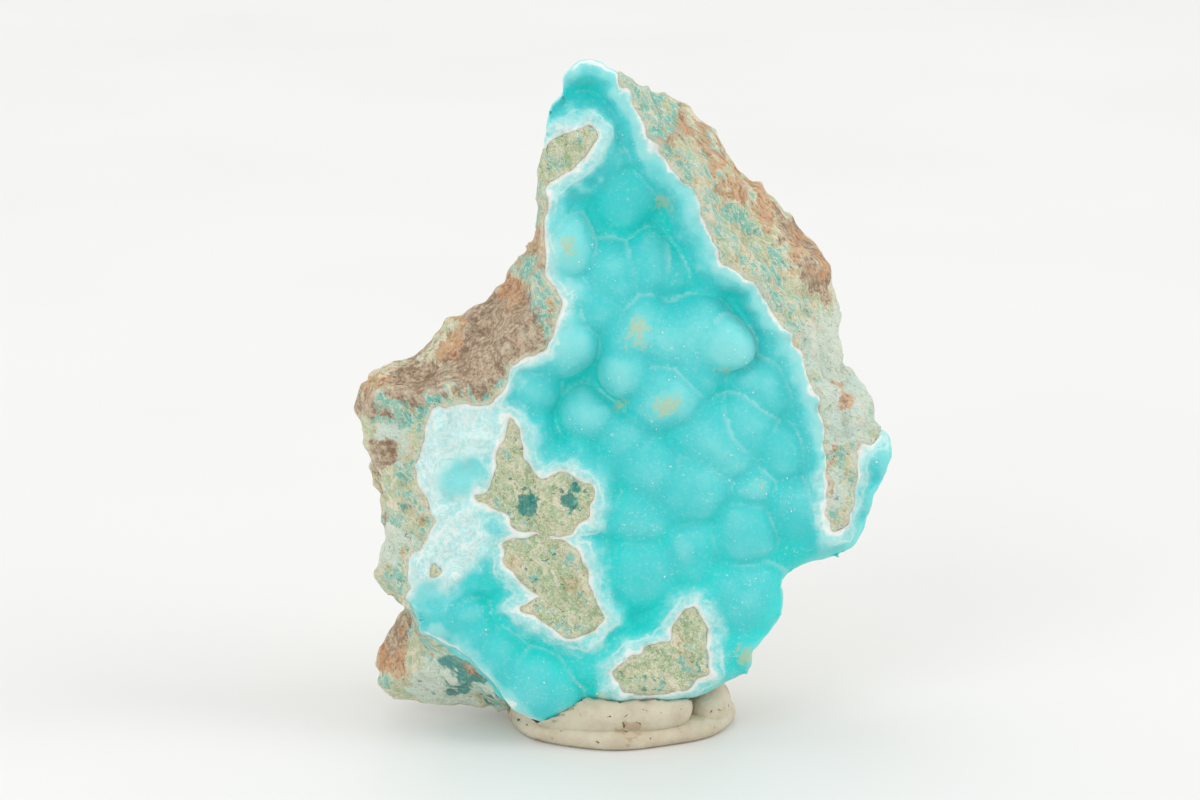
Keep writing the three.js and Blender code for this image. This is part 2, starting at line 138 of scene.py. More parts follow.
LEFT_RIM = [
    (-21.5, 15.5), (-20.5, 19.5), (-18, 23), (-20.5, 27.5), (-19.5, 31.5), (-18.5, 34.5), (-12.5, 35),
    (-10.5, 39), (-7.5, 40.5), (-5.5, 45.5), (-7.5, 47.5), (-7.5, 53), (-7, 56),
]
TIP_EDGE = [(-7.1, 60), (-6.6, 64), (-5.6, 65.5), (-5.4, 67.3)]
ROCK_FRONT = [
    (-4, 67.3), (-2, 67.3), (0.6, 67.6), (3, 66.3), (5, 63), (6.7, 59.6), (9, 56.5), (10, 53), (11.3, 50),
    (14.3, 48.2), (16.8, 44.7), (18.9, 41), (21, 37.5), (23.5, 34), (25.2, 30), (23.2, 23.2), (18, 21),
    (14, 17.5), (13.5, 13.5), (11, 10.5), (7, 8.5), (-3, 7.5), (-6, 7), (-9, 8.6), (-12, 10.6), (-16.5, 13),
    (-21.5, 14.5), (-23.5, 17.5), (-23, 20.5), (-23.5, 24), (-24.5, 28), (-25.5, 33), (-24.5, 35.5),
    (-14, 37), (-11.8, 41), (-9, 42.8), (-7.5, 45.5), (-8.5, 48), (-8.3, 53), (-7.6, 56), (-7.2, 60),
    (-6.4, 64), (-5, 67),
]
ROCK_GIRTH = [
    (-4.3, 65.2), (-1.5, 66), (1.5, 66.3), (4.4, 65.3), (8, 62.5), (12, 57.5), (15, 54.4), (19.3, 50.1),
    (21.5, 48), (21, 45.5), (22.5, 42), (22.5, 38), (25, 34), (25.9, 30.2), (24.2, 25.5), (22.3, 22.3),
    (17.5, 20), (14, 17), (13.5, 12), (11, 9), (4, 6.5), (-3, 6), (-8, 2.3), (-12.5, 2), (-16, 2.2),
    (-20, 2.7), (-25.2, 3.7), (-26, 5.2), (-23.5, 9), (-21.4, 12.5), (-24.5, 16.5), (-23.5, 19), (-24, 22),
    (-25, 27.5), (-25, 30), (-26.5, 33.5), (-26, 35.5), (-22, 38.3), (-20, 39.2), (-17.7, 42), (-13.7, 44),
    (-11, 46), (-9, 50), (-7.2, 54), (-7, 58.5), (-6.6, 62), (-5.4, 64.5),
]
# Stubs of rock that stand through the crust, broken off level with the rim
STUBS = [
    [(-10, 60), (-7.5, 60), (-5.5, 62), (-3, 62.5), (-2, 61.5), (-3.5, 59.5), (-5, 58), (-7, 57), (-10, 57)],
    [
        (-11, 33.5), (-10, 32), (-9.5, 29.5), (-7.5, 27.5), (-4.5, 28), (-3, 26), (-3, 23.5), (-5.5, 22),
        (-10, 22.5), (-12, 24), (-14.5, 25.5), (-13, 26.5), (-12, 29), (-11.5, 32),
    ],
    [
        (-11.5, 21), (-8, 22), (-5.5, 21.5), (-4, 20), (-3, 17), (-1.5, 13.5), (-3, 12), (-5, 11.5), (-8, 13),
        (-10, 14.5), (-7.5, 15.5), (-10.5, 17.5), (-11.5, 19.5),
    ],
    [(-0.5, 8), (1, 9.5), (5, 11), (6, 13.5), (7.5, 14.5), (8.5, 13), (9, 8), (7, 6.3), (3, 5.6), (0, 6)],
    [(-19, 18.5), (-18.5, 19), (-18, 18), (-18.5, 17.5), (-19, 17.5)],
]
# Where the crust itself is broken through, level with the rim
BROKEN_FACE = [
    (-18.5, 34.5), (-12.5, 34.5), (-12.5, 31), (-15, 25.5), (-13.5, 23.5), (-12.5, 21), (-16, 17), (-18, 15),
    (-21.5, 15.5), (-20.5, 19.5), (-18, 23), (-20.5, 27.5), (-19.5, 31.5),
]
# Deeper parts of the hollow: (x, z, radius, depth)
HOLLOWS = [
    (3, 52.5, 5, 2.4), (12.5, 44.5, 3, 2.6), (-5, 36.5, 3, 1), (-14.5, 17, 3, 1.2), (-9, 9, 4, 0.8),
    (18, 26.5, 4, 0.8), (0.5, 13, 3, 1), (-3, 64.8, 2.2, 0.6),
]
# The crust's bubbles: (x, z, radius, how far the top lies behind the rim)
BUBBLES = [
    (-5.1, 50.6, 3.1, -0.6), (-1, 47.5, 4.4, 0.8), (2.5, 48, 3.8, 1.5), (5, 47.5, 3.2, 2.2),
    (7.7, 41, 5, 0), (10.3, 41, 2.7, -0.7), (2, 42, 4.4, 0), (4.5, 35.5, 4, -0.4),
    (0.8, 38.6, 2.7, 0), (-5.4, 40.5, 3.1, -0.6), (-5.4, 43.4, 2, -0.3), (-4.8, 46, 2.2, -0.2),
    (-2.7, 33.4, 2.8, 0.7), (1, 31, 3.7, 0.6), (9.3, 31, 5.2, -0.1), (14.5, 36.5, 4.9, 0.6),
    (7, 26.5, 4.9, -0.2), (12.8, 26.2, 3.3, 0.3), (11.8, 21.8, 3.7, 0.1), (3, 28.5, 3.9, 0.3),
    (2.5, 17.5, 4.9, 0.2), (6.8, 20, 4.2, 0.1), (11.5, 15, 5.6, -0.2), (11.5, 10.5, 3.8, 0.6),
    (15.8, 29.8, 3.9, 0.7), (17.5, 24.5, 4.4, 0.5), (2, 23, 4.3, 0.4), (-7.5, 6, 4.9, -0.2),
    (-2.5, 9.5, 3.7, 0.6), (0.5, 56, 5.4, 2.2), (-1, 60, 2.9, 1.2), (1, 64, 2.1, 0.8),
    (25.4, 29, 2.7, 0.2), (25, 25, 2.3, 0.4), (16, 41, 3.9, 1.2), (-12.5, 18, 2.7, 0.6),
    (-15, 13, 3.4, 0.3), (-2.5, 19.5, 2.4, 0.8), (-2, 27.5, 2.4, 0.8), (-8.5, 36.5, 3.2, 0.6),
    (-3, 44.5, 3.7, 0.6), (4.9, 41, 3.6, 0.1), (7.4, 38, 3.2, 0.4), (12.6, 32.6, 3.6, 0.2),
    (-11.6, 8.6, 4.2, 0.5), (-14.2, 10.8, 3.4, 0.5), (-17.5, 12.8, 2.8, 0.4),
]
# Facets of the broken back: (x, y, z) direction and distance from the middle of the girth
ROCK_MIDDLE = (0, GIRTH_DEPTH, 33)
BACK_FACETS = [
    (0.05, 1, 0.12, 9.5), (0.75, 0.62, 0.25, 22.5), (-0.7, 0.68, 0.2, 21), (0.1, 0.78, 0.62, 25),
    (-0.2, 0.84, -0.5, 21), (0.55, 0.63, -0.55, 21),
]

# The rock's rough break, in layers from coarse to fine: (seed, stretch, width of the lumps, height)
ROUGH_LAYERS = [(5, 0.7, 2.6, 1), (6, 0.8, 1.25, 0.6), (7, 1, 0.65, 0.4)]
BED_SQUEEZE = 1.5

# Stains of the rock, dust on the crust and patches where its broken face is clear: (x, z, radius)
STAINS = {
    "brown": [
        (-11.5, 42.5, 4.5), (-15.5, 39.5, 4.5), (-20, 37.5, 3), (-25, 34.5, 2.4), (19.8, 47.5, 2.7),
        (17, 51.4, 1.6), (-14.8, 7.4, 1.1), (-22.5, 10.5, 2.6), (-24, 29, 1.6), (-24.6, 26, 1),
        (-23.6, 23.6, 0.9),
    ],
    "rust": [
        (-8.5, 51, 1.9), (-11.5, 46, 2), (-18, 42, 1.8), (-24, 37, 1.7), (6.5, 62.5, 1.7), (10, 58.8, 1.7),
        (12.8, 56.8, 1.6), (15.5, 53.8, 1.6), (-22.5, 8.8, 1.6), (21.6, 35.4, 0.9), (21.9, 29, 0.7),
        (8.2, 60.6, 1.3), (11.4, 55.6, 1), (18.4, 50.2, 1.5), (20.6, 47.4, 1.1), (21.8, 30.8, 0.6),
        (21.9, 27.2, 0.6), (-11, 18.8, 1.1), (-4.6, 17, 0.9),
    ],
    "mint": [
        (22.5, 35, 5), (21.5, 41, 4), (-17.5, 4.5, 4), (-12, 5.5, 3), (22, 26.5, 2), (-23.5, 21, 3),
        (-22.8, 30.6, 2.2),
    ],
    "teal": [
        (-15, 7.2, 2.4), (-19, 5, 0.8), (-9.4, 24.8, 1.3), (-4.9, 25.4, 0.9), (-4.6, 26.8, 0.6),
        (-11, 4, 0.9), (-13, 3.4, 0.7),
    ],
    "verdigris": [
        (-22.5, 33.5, 3), (-19, 35.5, 2), (-9, 49, 1.8), (-8.4, 43.8, 1.6), (-13, 38, 1.6), (-24.5, 5.6, 1.8),
        (-22, 24, 1.6), (8.5, 60.5, 1.5), (5, 63.6, 1.5), (12, 53, 1.5), (15, 49, 1.5), (24, 36, 1.6),
        (0.8, 67, 1.4), (2.8, 65.6, 1.4),
    ],
}
DUST = [
    (4.5, 54.7, 1.6), (1.6, 42, 1.8), (4.6, 35, 2.2), (-5, 50.7, 1.4), (3, 61, 1), (12.6, 9.6, 1.6),
    (-5, 3.2, 2), (-1.5, 5.6, 1.6), (10.5, 38, 1), (0, 34.5, 1.2), (14, 27, 0.9),
]
CLEAR_PATCHES = [(-16, 27.2, 2.2), (-14.4, 28.4, 1.5), (-19, 15.8, 1.7), (-18, 14.6, 1.4)]

# The putty that the stone stands in
PUTTY_HALF_WIDTH = 11.8
PUTTY_HALF_DEPTH = 9.4
PUTTY_REACH = 16
PUTTY_TOP = 9
PUTTY_ROUGHNESS = 0.2
PUTTY_DOME_HEIGHT = 0.1
PRESS_FACET = 0.4
PRESS_ROUNDS = 8
PRESS_LIMIT = 0.5
ROPE_INSET = 0.45
FOOT_INSET = 0.2
FOOT_SIDES = 120
# Waves of the foot's outline: (size, how many go round, where they start)
FOOT_WAVES = [(0.25, 3, 1), (0.15, 7, 0)]
STONE_CLEARANCE = 0.15
# Turns of the putty: (degrees round from the right, height of the middle)
FRONT_ROPE = [(150, 1.9), (185, 1.9), (220, 2.2), (250, 2.7), (280, 3.1), (305, 3.4), (318, 3.3)]
SIDE_ROPE = [(-38, 1.7), (-15, 2.1), (15, 2.3), (50, 2.3), (90, 2.2), (125, 2)]
# The putty's lowest turn, pressed flat: (inset from its outline, height)
FOOT_PROFILE = [
    (1.6, 0), (0.5, 0.05), (0.12, 0.35), (0, 0.8), (0.1, 1.25), (0.45, 1.7), (1, 2.05), (1.8, 2.2), (3, 2.1),
]

# The stage, in metres
FLOOR_HALF_WIDTH = 2
NEAREST_SEEN = 0.01
# Soft lamps: place and width
LAMPS = {
    "key": ((-0.3, 0.5, 1.5), 1.2),
    "fill": ((-0.5, -0.7, 0.6), 0.6),
    "side": ((2, -0.3, 1.5), 1.5),
}


# Smooth noise in space

NOISE_CELLS = 48
_lattices = {}


def lattice(seed):
    """A cube of random numbers from -1 to 1, the same for each seed."""
    if seed not in _lattices:
        cube = np.random.default_rng(seed).uniform(-1, 1, (NOISE_CELLS,) * 3)
        _lattices[seed] = cube.astype(np.float32)
    return _lattices[seed]


def noise(seed, x, y, z, cell):
    """Smooth noise from -1 to 1 at positions in millimetres, with lumps about one cell wide."""
    cube = lattice(seed)
    whole, ease = [], []
    for position in (x, y, z):
        scaled = np.asarray(position, np.float32) / cell
        floor = np.floor(scaled)
        part = scaled - floor
        whole.append(floor.astype(np.int32))
        ease.append(part * part * (3 - 2 * part))
    total = 0
    for corner in np.ndindex(2, 2, 2):
        index = tuple((w + c) % NOISE_CELLS for w, c in zip(whole, corner))
        weight = 1
        for step, t in zip(corner, ease):
            weight = weight * (t if step else 1 - t)
        total = total + cube[index] * weight
    return total


def smoothstep(low, high, value):
    """A smooth step from 0 at low to 1 at high."""
    t = np.clip((value - low) / (high - low), 0, 1)
    return t * t * (3 - 2 * t)


# Distances in the plane of the rim


def segment_distance(x, z, start, end):
    """Distance from a straight stretch."""
    ax, az = start
    run, rise = end[0] - ax, end[1] - az
    along = np.clip(((x - ax) * run + (z - az) * rise) / (run**2 + rise**2), 0, 1)
    return np.hypot(x - ax - along * run, z - az - along * rise)


def line_distance(line, x, z):
    """Distance from an open line."""
    return np.minimum.reduce([segment_distance(x, z, a, b) for a, b in zip(line, line[1:])])


def outline_distance(outline, x, z):
    """Signed distance from a closed outline, negative inside it."""
    closed = outline + outline[:1]
    inside = False
    for (ax, az), (bx, bz) in zip(closed, closed[1:]):
        if az != bz:
            inside = inside ^ (((az > z) != (bz > z)) & (x < (bx - ax) * (z - az) / (bz - az) + ax))
    return line_distance(closed, x, z) * np.where(inside, -1, 1)


def moved(line, distance):
    """An open line, moved to its left, which is outwards on a clockwise outline."""
    ends = [line[0], *line, line[-1]]
    result = []
    for (ax, az), (x, z), (bx, bz) in zip(ends, line, ends[2:]):
        span = math.hypot(bx - ax, bz - az)
        result.append((x - distance * (bz - az) / span, z + distance * (bx - ax) / span))
    return result


def bulged(line, swell):
    """An open line whose stretches swell to its left by a share of their length."""
    result = [line[0]]
    for (ax, az), (bx, bz) in zip(line, line[1:]):
        run, rise = bx - ax, bz - az
        for t in (0.25, 0.5, 0.75, 1):
            out = 4 * swell * t * (1 - t)
            result.append((ax + t * run - out * rise, az + t * rise + out * run))
    return result


LOWER_EDGE = bulged(LOBES, LOBE_SWELL) + FOOT_EDGE + FOOT_LIP
CRUST_OUTLINE = WHOLE_RIGHT_RIM + LOWER_EDGE + LEFT_RIM + TIP_EDGE
CRUST_SHARE = WHOLE_RIGHT_RIM + moved(LOWER_EDGE, EDGE_MARGIN) + LEFT_RIM + moved(TIP_EDGE, EDGE_MARGIN)


def blended_min(a, b, radius):
    """The smaller of two distances, with a fillet where they meet."""
    overlap = np.maximum(radius - np.abs(a - b), 0) / radius
    return np.minimum(a, b) - overlap**2 * radius / 4


def blended_max(a, b, radius):
    """The larger of two distances, with the corner between them rounded."""
    return -blended_min(-a, -b, radius)


def soft_spot(x, z, middle_x, middle_z, radius):
    """1 in the middle of a round spot, and next to nothing at twice its radius."""
    return np.exp(-((x - middle_x) ** 2 + (z - middle_z) ** 2) / radius**2)


# The face


RAGGED_WIDE = 0.3
RAGGED_WIDE_CELL = 2.7
RAGGED_FINE = 0.32
RAGGED_FINE_CELL = 0.95


def ragged(x, z, fine=RAGGED_FINE):
    """Positions moved a little to and fro, so that what is drawn at them runs ragged."""
    across = RAGGED_WIDE * noise(1, x, 0, z, RAGGED_WIDE_CELL) + fine * noise(2, x, 0, z, RAGGED_FINE_CELL)
    along = RAGGED_WIDE * noise(3, x, 0, z, RAGGED_WIDE_CELL) + fine * noise(4, x, 0, z, RAGGED_FINE_CELL)
    return x + across, z + along


def rim_depth(x):
    """Depth of the rim, which lies further back at the sides."""
    return FACE_CROWN * (x / FACE_HALF_WIDTH) ** 2


def stub_distance(x, z):
    """Signed distance from the stubs of rock, negative inside them."""
    return np.minimum.reduce([outline_distance(stub, x, z) for stub in STUBS])


def broken_edge_distance(x, z):
    """How far a point of the crust is from the nearest broken edge, or nothing off the crust."""
    rim = np.minimum(line_distance(WHOLE_RIGHT_RIM, x, z), line_distance(LEFT_RIM, x, z))
    near = np.minimum(np.minimum(rim, stub_distance(x, z)), outline_distance(BROKEN_FACE, x, z))
    return np.where(outline_distance(CRUST_OUTLINE, x, z) > 0, 0, np.maximum(near, 0))


def floor_depth(x, z, least_fall=0):
    """Depth of the face: level at a broken edge and hollow inside it."""
    fall = np.maximum(smoothstep(0, HOLLOW_RUN, broken_edge_distance(x, z) - BROKEN_BAND), least_fall)
    hollow = HOLLOW_DEPTH
    for hx, hz, radius, depth in HOLLOWS:
        hollow = hollow + depth * soft_spot(x, z, hx, hz, radius)
    return rim_depth(x) + hollow * fall


def turned_back(x, z):
    """How far the crust is turned back, towards its unbroken edge."""
    inward = np.clip(EDGE_ROUND - line_distance(LOWER_EDGE, x, z), 0, STEEPEST_EDGE * EDGE_ROUND)
    return EDGE_ROUND - np.sqrt(EDGE_ROUND**2 - inward**2)


# The stone as signed distances over a grid of points


class Grid:
    """Points of a box, evenly spaced, in the stone's own millimetres."""

    def __init__(self, low, high, step):
        self.low = np.array(low, np.float32)
        self.step = step
        axes = [np.arange(a, b + step, step, dtype=np.float32) for a, b in zip(low, high)]
        self.x, self.y, self.z = np.meshgrid(*axes, indexing="ij", sparse=True)

    def window(self, middle, reach):
        """The slices of the grid that lie within a reach of a point."""
        result = []
        for n, axis in enumerate((self.x, self.y, self.z)):
            first = math.floor((middle[n] - reach - self.low[n]) / self.step)
            last = math.ceil((middle[n] + reach - self.low[n]) / self.step) + 1
            result.append(slice(max(first, 0), min(max(last, 0), axis.size)))
        return tuple(result)


def pushed_about(x, z, seeds, reach, cell):
    """Positions moved slowly to and fro, by up to a reach in millimetres."""
    return x + reach * noise(seeds[0], x, 0, z, cell), z + reach * noise(seeds[1], x, 0, z, cell)


def warped(x, z):
    """Positions at which no bubble is quite round."""
    return pushed_about(x, z, (14, 15), BUBBLE_WARP, BUBBLE_WARP_CELL)


def rock_relief(x, y, z):
    """Slow swellings and ledges of the rock."""
    across = np.sin(0.62 * x + 0.35 * z + 1.3)
    rising = np.sin(0.55 * z - 0.4 * x + 0.7 * y)
    falling = np.sin(0.3 * x - 0.5 * z + 0.9 * y)
    level = y + 0.12 * z + 0.5 * np.sin(0.3 * z + 0.2 * x)
    ledge = np.sin(2 * np.pi * level / LEDGE_SPACING)
    return ROCK_SWELL * (across + rising + falling) / 3 + LEDGE_HEIGHT * ledge


def rock_roughness(x, y, z, height):
    """The rough break of the rock, drawn out along its bedding."""
    total = 0
    for seed, stretch, cell, weight in ROUGH_LAYERS:
        total = total + weight * noise(seed, stretch * x, BED_SQUEEZE * y, stretch * z, cell)
    return height * total


def small_domes(x, z):
    """Heights from 0 to 1 of small domes that cover the crust, one in each square of a loose net."""
    net = DOME_SPACING
    x, z = pushed_about(x, z, (8, 9), DOME_WANDER, DOME_WANDER_CELL)
    column, row = np.floor(x / net), np.floor(z / net)
    nearest = FAR_OFF
    cube = lattice(10)
    for across, up in np.ndindex(3, 3):
        i, k = (column + across - 1).astype(int), (row + up - 1).astype(int)
        off_x = DOME_SHIFT * cube[i % NOISE_CELLS, 0, k % NOISE_CELLS]
        off_z = DOME_SHIFT * cube[i % NOISE_CELLS, 1, k % NOISE_CELLS]
        away = np.hypot(x / net - i - 0.5 - off_x, z / net - k - 0.5 - off_z)
        nearest = np.minimum(nearest, away)
    return np.sqrt(np.maximum(1 - nearest**2, 0))


def bubble_field(grid):
    """Distances from the crust's bubbles, run together where they meet."""
    domes = np.full(np.broadcast_shapes(grid.x.shape, grid.y.shape, grid.z.shape), FAR_OFF, np.float32)
    warped_x, warped_z = warped(grid.x, grid.z)
    for x, z, radius, top in BUBBLES:
        middle = (x, rim_depth(x) + top + radius, z)
        i, j, k = window = grid.window(middle, radius + BUBBLE_REACH)
        aside = (warped_x[i, :, k] - x) ** 2 + (warped_z[i, :, k] - z) ** 2
        away = np.sqrt(aside + (grid.y[:, j] - middle[1]) ** 2)
        domes[window] = blended_min(domes[window], away - radius, BUBBLE_FILLET)
    return domes


def bubble_ground(x, z, floor):
    """Depth of the crust between its bubbles, a little behind the tops of those near by."""
    weight = GROUND_WEIGHT
    total = GROUND_WEIGHT * floor
    for bx, bz, radius, top in BUBBLES:
        near = soft_spot(x, z, bx, bz, BUBBLE_SPREAD * radius)
        weight = weight + near
        total = total + near * np.minimum(floor, rim_depth(bx) + top + BUBBLE_RELIEF)
    return total / weight


def bubble_rims(points):
    """How near each point is to its bubble's upper edge, where that stands in front of what is behind it:
    where the painted highlight of the rims goes.
    """
    x, y, z = points.T
    warped_x, warped_z = warped(x, z)
    tops = np.array([rim_depth(bx) + top for bx, _, _, top in BUBBLES] + [GROUND_TOP])
    away = []
    for bx, bz, radius, top in BUBBLES:
        behind = y - rim_depth(bx) - top - radius
        away.append(np.sqrt((warped_x - bx) ** 2 + (warped_z - bz) ** 2 + behind**2) - radius)
    away = np.stack([*away, bubble_ground(x, z, floor_depth(x, z) + turned_back(x, z)) - y])
    first, second = np.argsort(away, axis=0)[:2]
    gap = np.take_along_axis(away, second[None], 0)[0] - np.take_along_axis(away, first[None], 0)[0]
    middles = np.array([(bx, bz, radius) for bx, bz, radius, _ in BUBBLES] + [(0, 0, 1)])
    across, up = warped_x - middles[first, 0], warped_z - middles[first, 1]
    aside = (RIM_SIDE[0] * across + RIM_SIDE[1] * up) / middles[first, 2]
    shown = smoothstep(*RIM_TURN, aside) * smoothstep(*RIM_STEP, tops[second] - tops[first])
    return np.exp(-((gap / RIM_WIDTH) ** 2)) * shown


def stone_field(grid, roughness, dome_height):
    """The whole stone, crust and rock."""
    x, y, z = grid.x, grid.y, grid.z
    edge_x, edge_z = ragged(x, z)
    crust_section = outline_distance(CRUST_OUTLINE, edge_x, edge_z)
    turned = turned_back(*ragged(x, z, 0))
    floor = floor_depth(edge_x, edge_z) + turned
    back = floor_depth(edge_x, edge_z, BACK_FALL) + CRUST_THICKNESS - LIP_THINNING + LIP_TURN * turned
    on_crust = smoothstep(*BREAK_WIDTH, broken_edge_distance(edge_x, edge_z))
    relief = BREAK_RELIEF * roughness * (noise(11, x, 0, z, 1.5) + 0.7 * noise(12, x, 0, z, 0.7))
    swell = GROUND_SWELL * noise(13, x, 0, z, GROUND_SWELL_CELL)
    floor = bubble_ground(x, z, floor) + (1 - on_crust) * relief + on_crust * swell

    t = (y - rim_depth(x)) / GIRTH_DEPTH
    front = outline_distance(ROCK_FRONT, edge_x, edge_z)
    girth = outline_distance(ROCK_GIRTH, edge_x, edge_z)
    rock = front + (girth - front) * np.clip(t, 0, 1) + BACK_INSET * np.maximum(t - 1, 0) ** 2
    rock = rock + rock_relief(x, y, z)
    for fx, fy, fz, distance in BACK_FACETS:
        out = (x - ROCK_MIDDLE[0]) * fx + (y - ROCK_MIDDLE[1]) * fy + (z - ROCK_MIDDLE[2]) * fz
        rock = blended_max(rock, out / math.hypot(fx, fy, fz) - distance, FACET_ROUND)
    rock = rock + rock_roughness(x, y, z, roughness)

    bubbles = np.maximum(bubble_field(grid), crust_section)
    face = blended_min(floor - y, bubbles, GROUND_FILLET) - on_crust * dome_height * small_domes(x, z)
    lip_section = outline_distance(CRUST_OUTLINE, *ragged(x, z, LIP_RAGGED))
    lip_section = lip_section + LIP_GRAIN * noise(20, x, y, z, LIP_GRAIN_CELL)
    lip = np.maximum(lip_section, y - back)
    return blended_max(blended_min(rock, lip, LIP_FILLET), face, EDGE_FILLET)


def crust_share(grid):
    """The part of space that the crust takes up, up to the rock behind it."""
    edge_x, edge_z = ragged(grid.x, grid.z)
    back = floor_depth(edge_x, edge_z, BACK_FALL) + CRUST_THICKNESS + turned_back(edge_x, edge_z)
    beside = np.maximum(outline_distance(CRUST_SHARE, edge_x, edge_z), -stub_distance(edge_x, edge_z))
    return np.maximum(beside, grid.y - back)


# Closed surfaces over a field


BARELY_SOLID = 0.01


def join_diagonals(values, step):
    """Fills squares that are solid at two opposite corners only, so that no edge has four faces."""
    joined = True
    while joined:
        joined = False
        for pair in ((0, 1), (1, 2), (2, 0)):
            field = np.moveaxis(values, pair, (0, 1))
            a, b, c, d = field[:-1, :-1], field[1:, :-1], field[1:, 1:], field[:-1, 1:]
            for one, other, solid, far in ((b, d, a, c), (a, c, b, d)):
                touching = (solid < 0) & (far < 0) & (one >= 0) & (other >= 0)
                one[touching] = -BARELY_SOLID * step
                joined = joined or touching.any()


def skin(values, grid):
    """One closed surface where a field is zero: its corners and four-sided faces."""
    join_diagonals(values, grid.step)
    solid = values < 0
    inner = tuple(n - 1 for n in solid.shape)
    count = np.zeros(inner, np.int8)
    for a, b, c in np.ndindex(2, 2, 2):
        count += solid[a : a + inner[0], b : b + inner[1], c : c + inner[2]]
    mixed = (count > 0) & (count < 8)
    cells = np.argwhere(mixed)
    number = np.full(inner, -1, np.int32)
    number[mixed] = np.arange(len(cells))

    total = np.zeros(cells.shape)
    crossings = np.zeros(len(cells))
    faces = []
    units = np.eye(3, dtype=int)
    for n, unit in enumerate(units):
        p, q = units[(n + 1) % 3], units[(n + 2) % 3]
        for a, b in np.ndindex(2, 2):
            start = a * p + b * q
            before = values[tuple((cells + start).T)]
            after = values[tuple((cells + start + unit).T)]
            crosses = (before < 0) != (after < 0)
            share = before[crosses] / (before[crosses] - after[crosses])
            total[crosses] += start + share[:, None] * unit
            crossings += crosses
        here = solid[tuple(slice(0, size - step) for size, step in zip(solid.shape, unit))]
        there = solid[tuple(slice(step, size) for size, step in zip(solid.shape, unit))]
        edges = np.argwhere(here != there)
        round_edge = ((0, 0), (1, 0), (1, 1), (0, 1))
        ring = np.stack([number[tuple((edges - a * p - b * q).T)] for a, b in round_edge], 1)
        outward = here[tuple(edges.T)]
        faces.append(np.where(outward[:, None], ring, ring[:, ::-1]))
    corners = (cells + total / crossings[:, None]) * grid.step + grid.low
    return largest_part(corners, np.concatenate(faces))


def largest_part(corners, faces):
    """Drops crumbs: keeps the connected part that has the most corners."""
    label = np.arange(len(corners))
    while True:
        lower = label.copy()
        np.minimum.at(lower, faces, label[faces].min(axis=1)[:, None])
        lower = lower[lower]
        if (lower == label).all():
            break
        label = lower
    kept = label == np.bincount(label).argmax()
    renumbered = np.cumsum(kept) - 1
    return corners[kept], renumbered[faces[kept[faces[:, 0]]]]


def neighbours_mean(points, faces):
    """The mean of each corner's neighbours."""
    start = faces.ravel()
    end = np.roll(faces, -1, axis=1).ravel()
    count = np.bincount(start, minlength=len(points))
    sums = [np.bincount(start, points[end, n], minlength=len(points)) for n in range(3)]
    return np.stack(sums, 1) / count[:, None]


def eased(points, faces, share, rounds):
    """Moves each corner part of the way to the mean of its neighbours."""
    for _ in range(rounds):
        points = points + share * (neighbours_mean(points, faces) - points)
    return points


def corner_normals(points, faces):
    """Which way the surface faces at each corner."""
    diagonals = points[faces[:, 2]] - points[faces[:, 0]], points[faces[:, 3]] - points[faces[:, 1]]
    across = np.cross(*diagonals)
    sums = [np.bincount(faces.ravel(), np.repeat(across[:, n], 4), minlength=len(points)) for n in range(3)]
    normals = np.stack(sums, 1)
    return normals / np.maximum(np.linalg.norm(normals, axis=1, keepdims=True), 1e-9)


def standing_out(points, faces, rounds):
    """How far each corner stands out of the eased surface, in millimetres, negative in pits."""
    smooth = eased(points, faces, share=0.7, rounds=rounds)
    return ((points - smooth) * corner_normals(smooth, faces)).sum(axis=1)


# Meshes


def leaned_back(points):
    """Points of the stone, from its own millimetres to the frame's."""
    x, y, z = points.T
    cos, sin = math.cos(FACE_LEAN), math.sin(FACE_LEAN)
    return np.stack([x, FACE_FOOT_Y + y * cos + z * sin, z * cos - y * sin], 1)


def stood_up(points):
    """Points of the frame, from millimetres to the stone's own."""
    x, y, z = points.T
    cos, sin = math.cos(FACE_LEAN), math.sin(FACE_LEAN)
    return np.stack([x, (y - FACE_FOOT_Y) * cos - z * sin, (y - FACE_FOOT_Y) * sin + z * cos], 1)


def placed(name, data):
    """A new object at the origin."""
    item = bpy.data.objects.new(name, data)
    bpy.context.collection.objects.link(item)
    return item


def mesh_object(name, points, faces, attributes, material):
    """A smooth mesh at the origin, from millimetres, with one float attribute for each named array."""
    mesh = bpy.data.meshes.new(name)
    mesh.vertices.add(len(points))
    mesh.vertices.foreach_set("co", (points * MM).astype(np.float32).ravel())
    mesh.loops.add(faces.size)
    mesh.loops.foreach_set("vertex_index", faces.astype(np.int32).ravel())
    mesh.polygons.add(len(faces))
    mesh.polygons.foreach_set("loop_start", np.arange(0, faces.size, 4, dtype=np.int32))
    mesh.update(calc_edges=True)
    mesh.validate()
    mesh.shade_smooth()
    for label, values in attributes.items():
        attribute = mesh.attributes.new(label, "FLOAT", "POINT")
        attribute.data.foreach_set("value", np.asarray(values, np.float32))
    mesh.materials.append(material)
    return placed(name, mesh)


def blots(spots, x, z):
    """A mask of soft round spots."""
    return np.maximum.reduce([soft_spot(x, z, *spot) for spot in spots])


def settle(piece, slot, *nodes):
    """Fixes a finished piece to the one body, in the place of the nodes that it stands for."""
    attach(piece, "root")
    if nodes:
        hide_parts(*nodes)


# Node trees


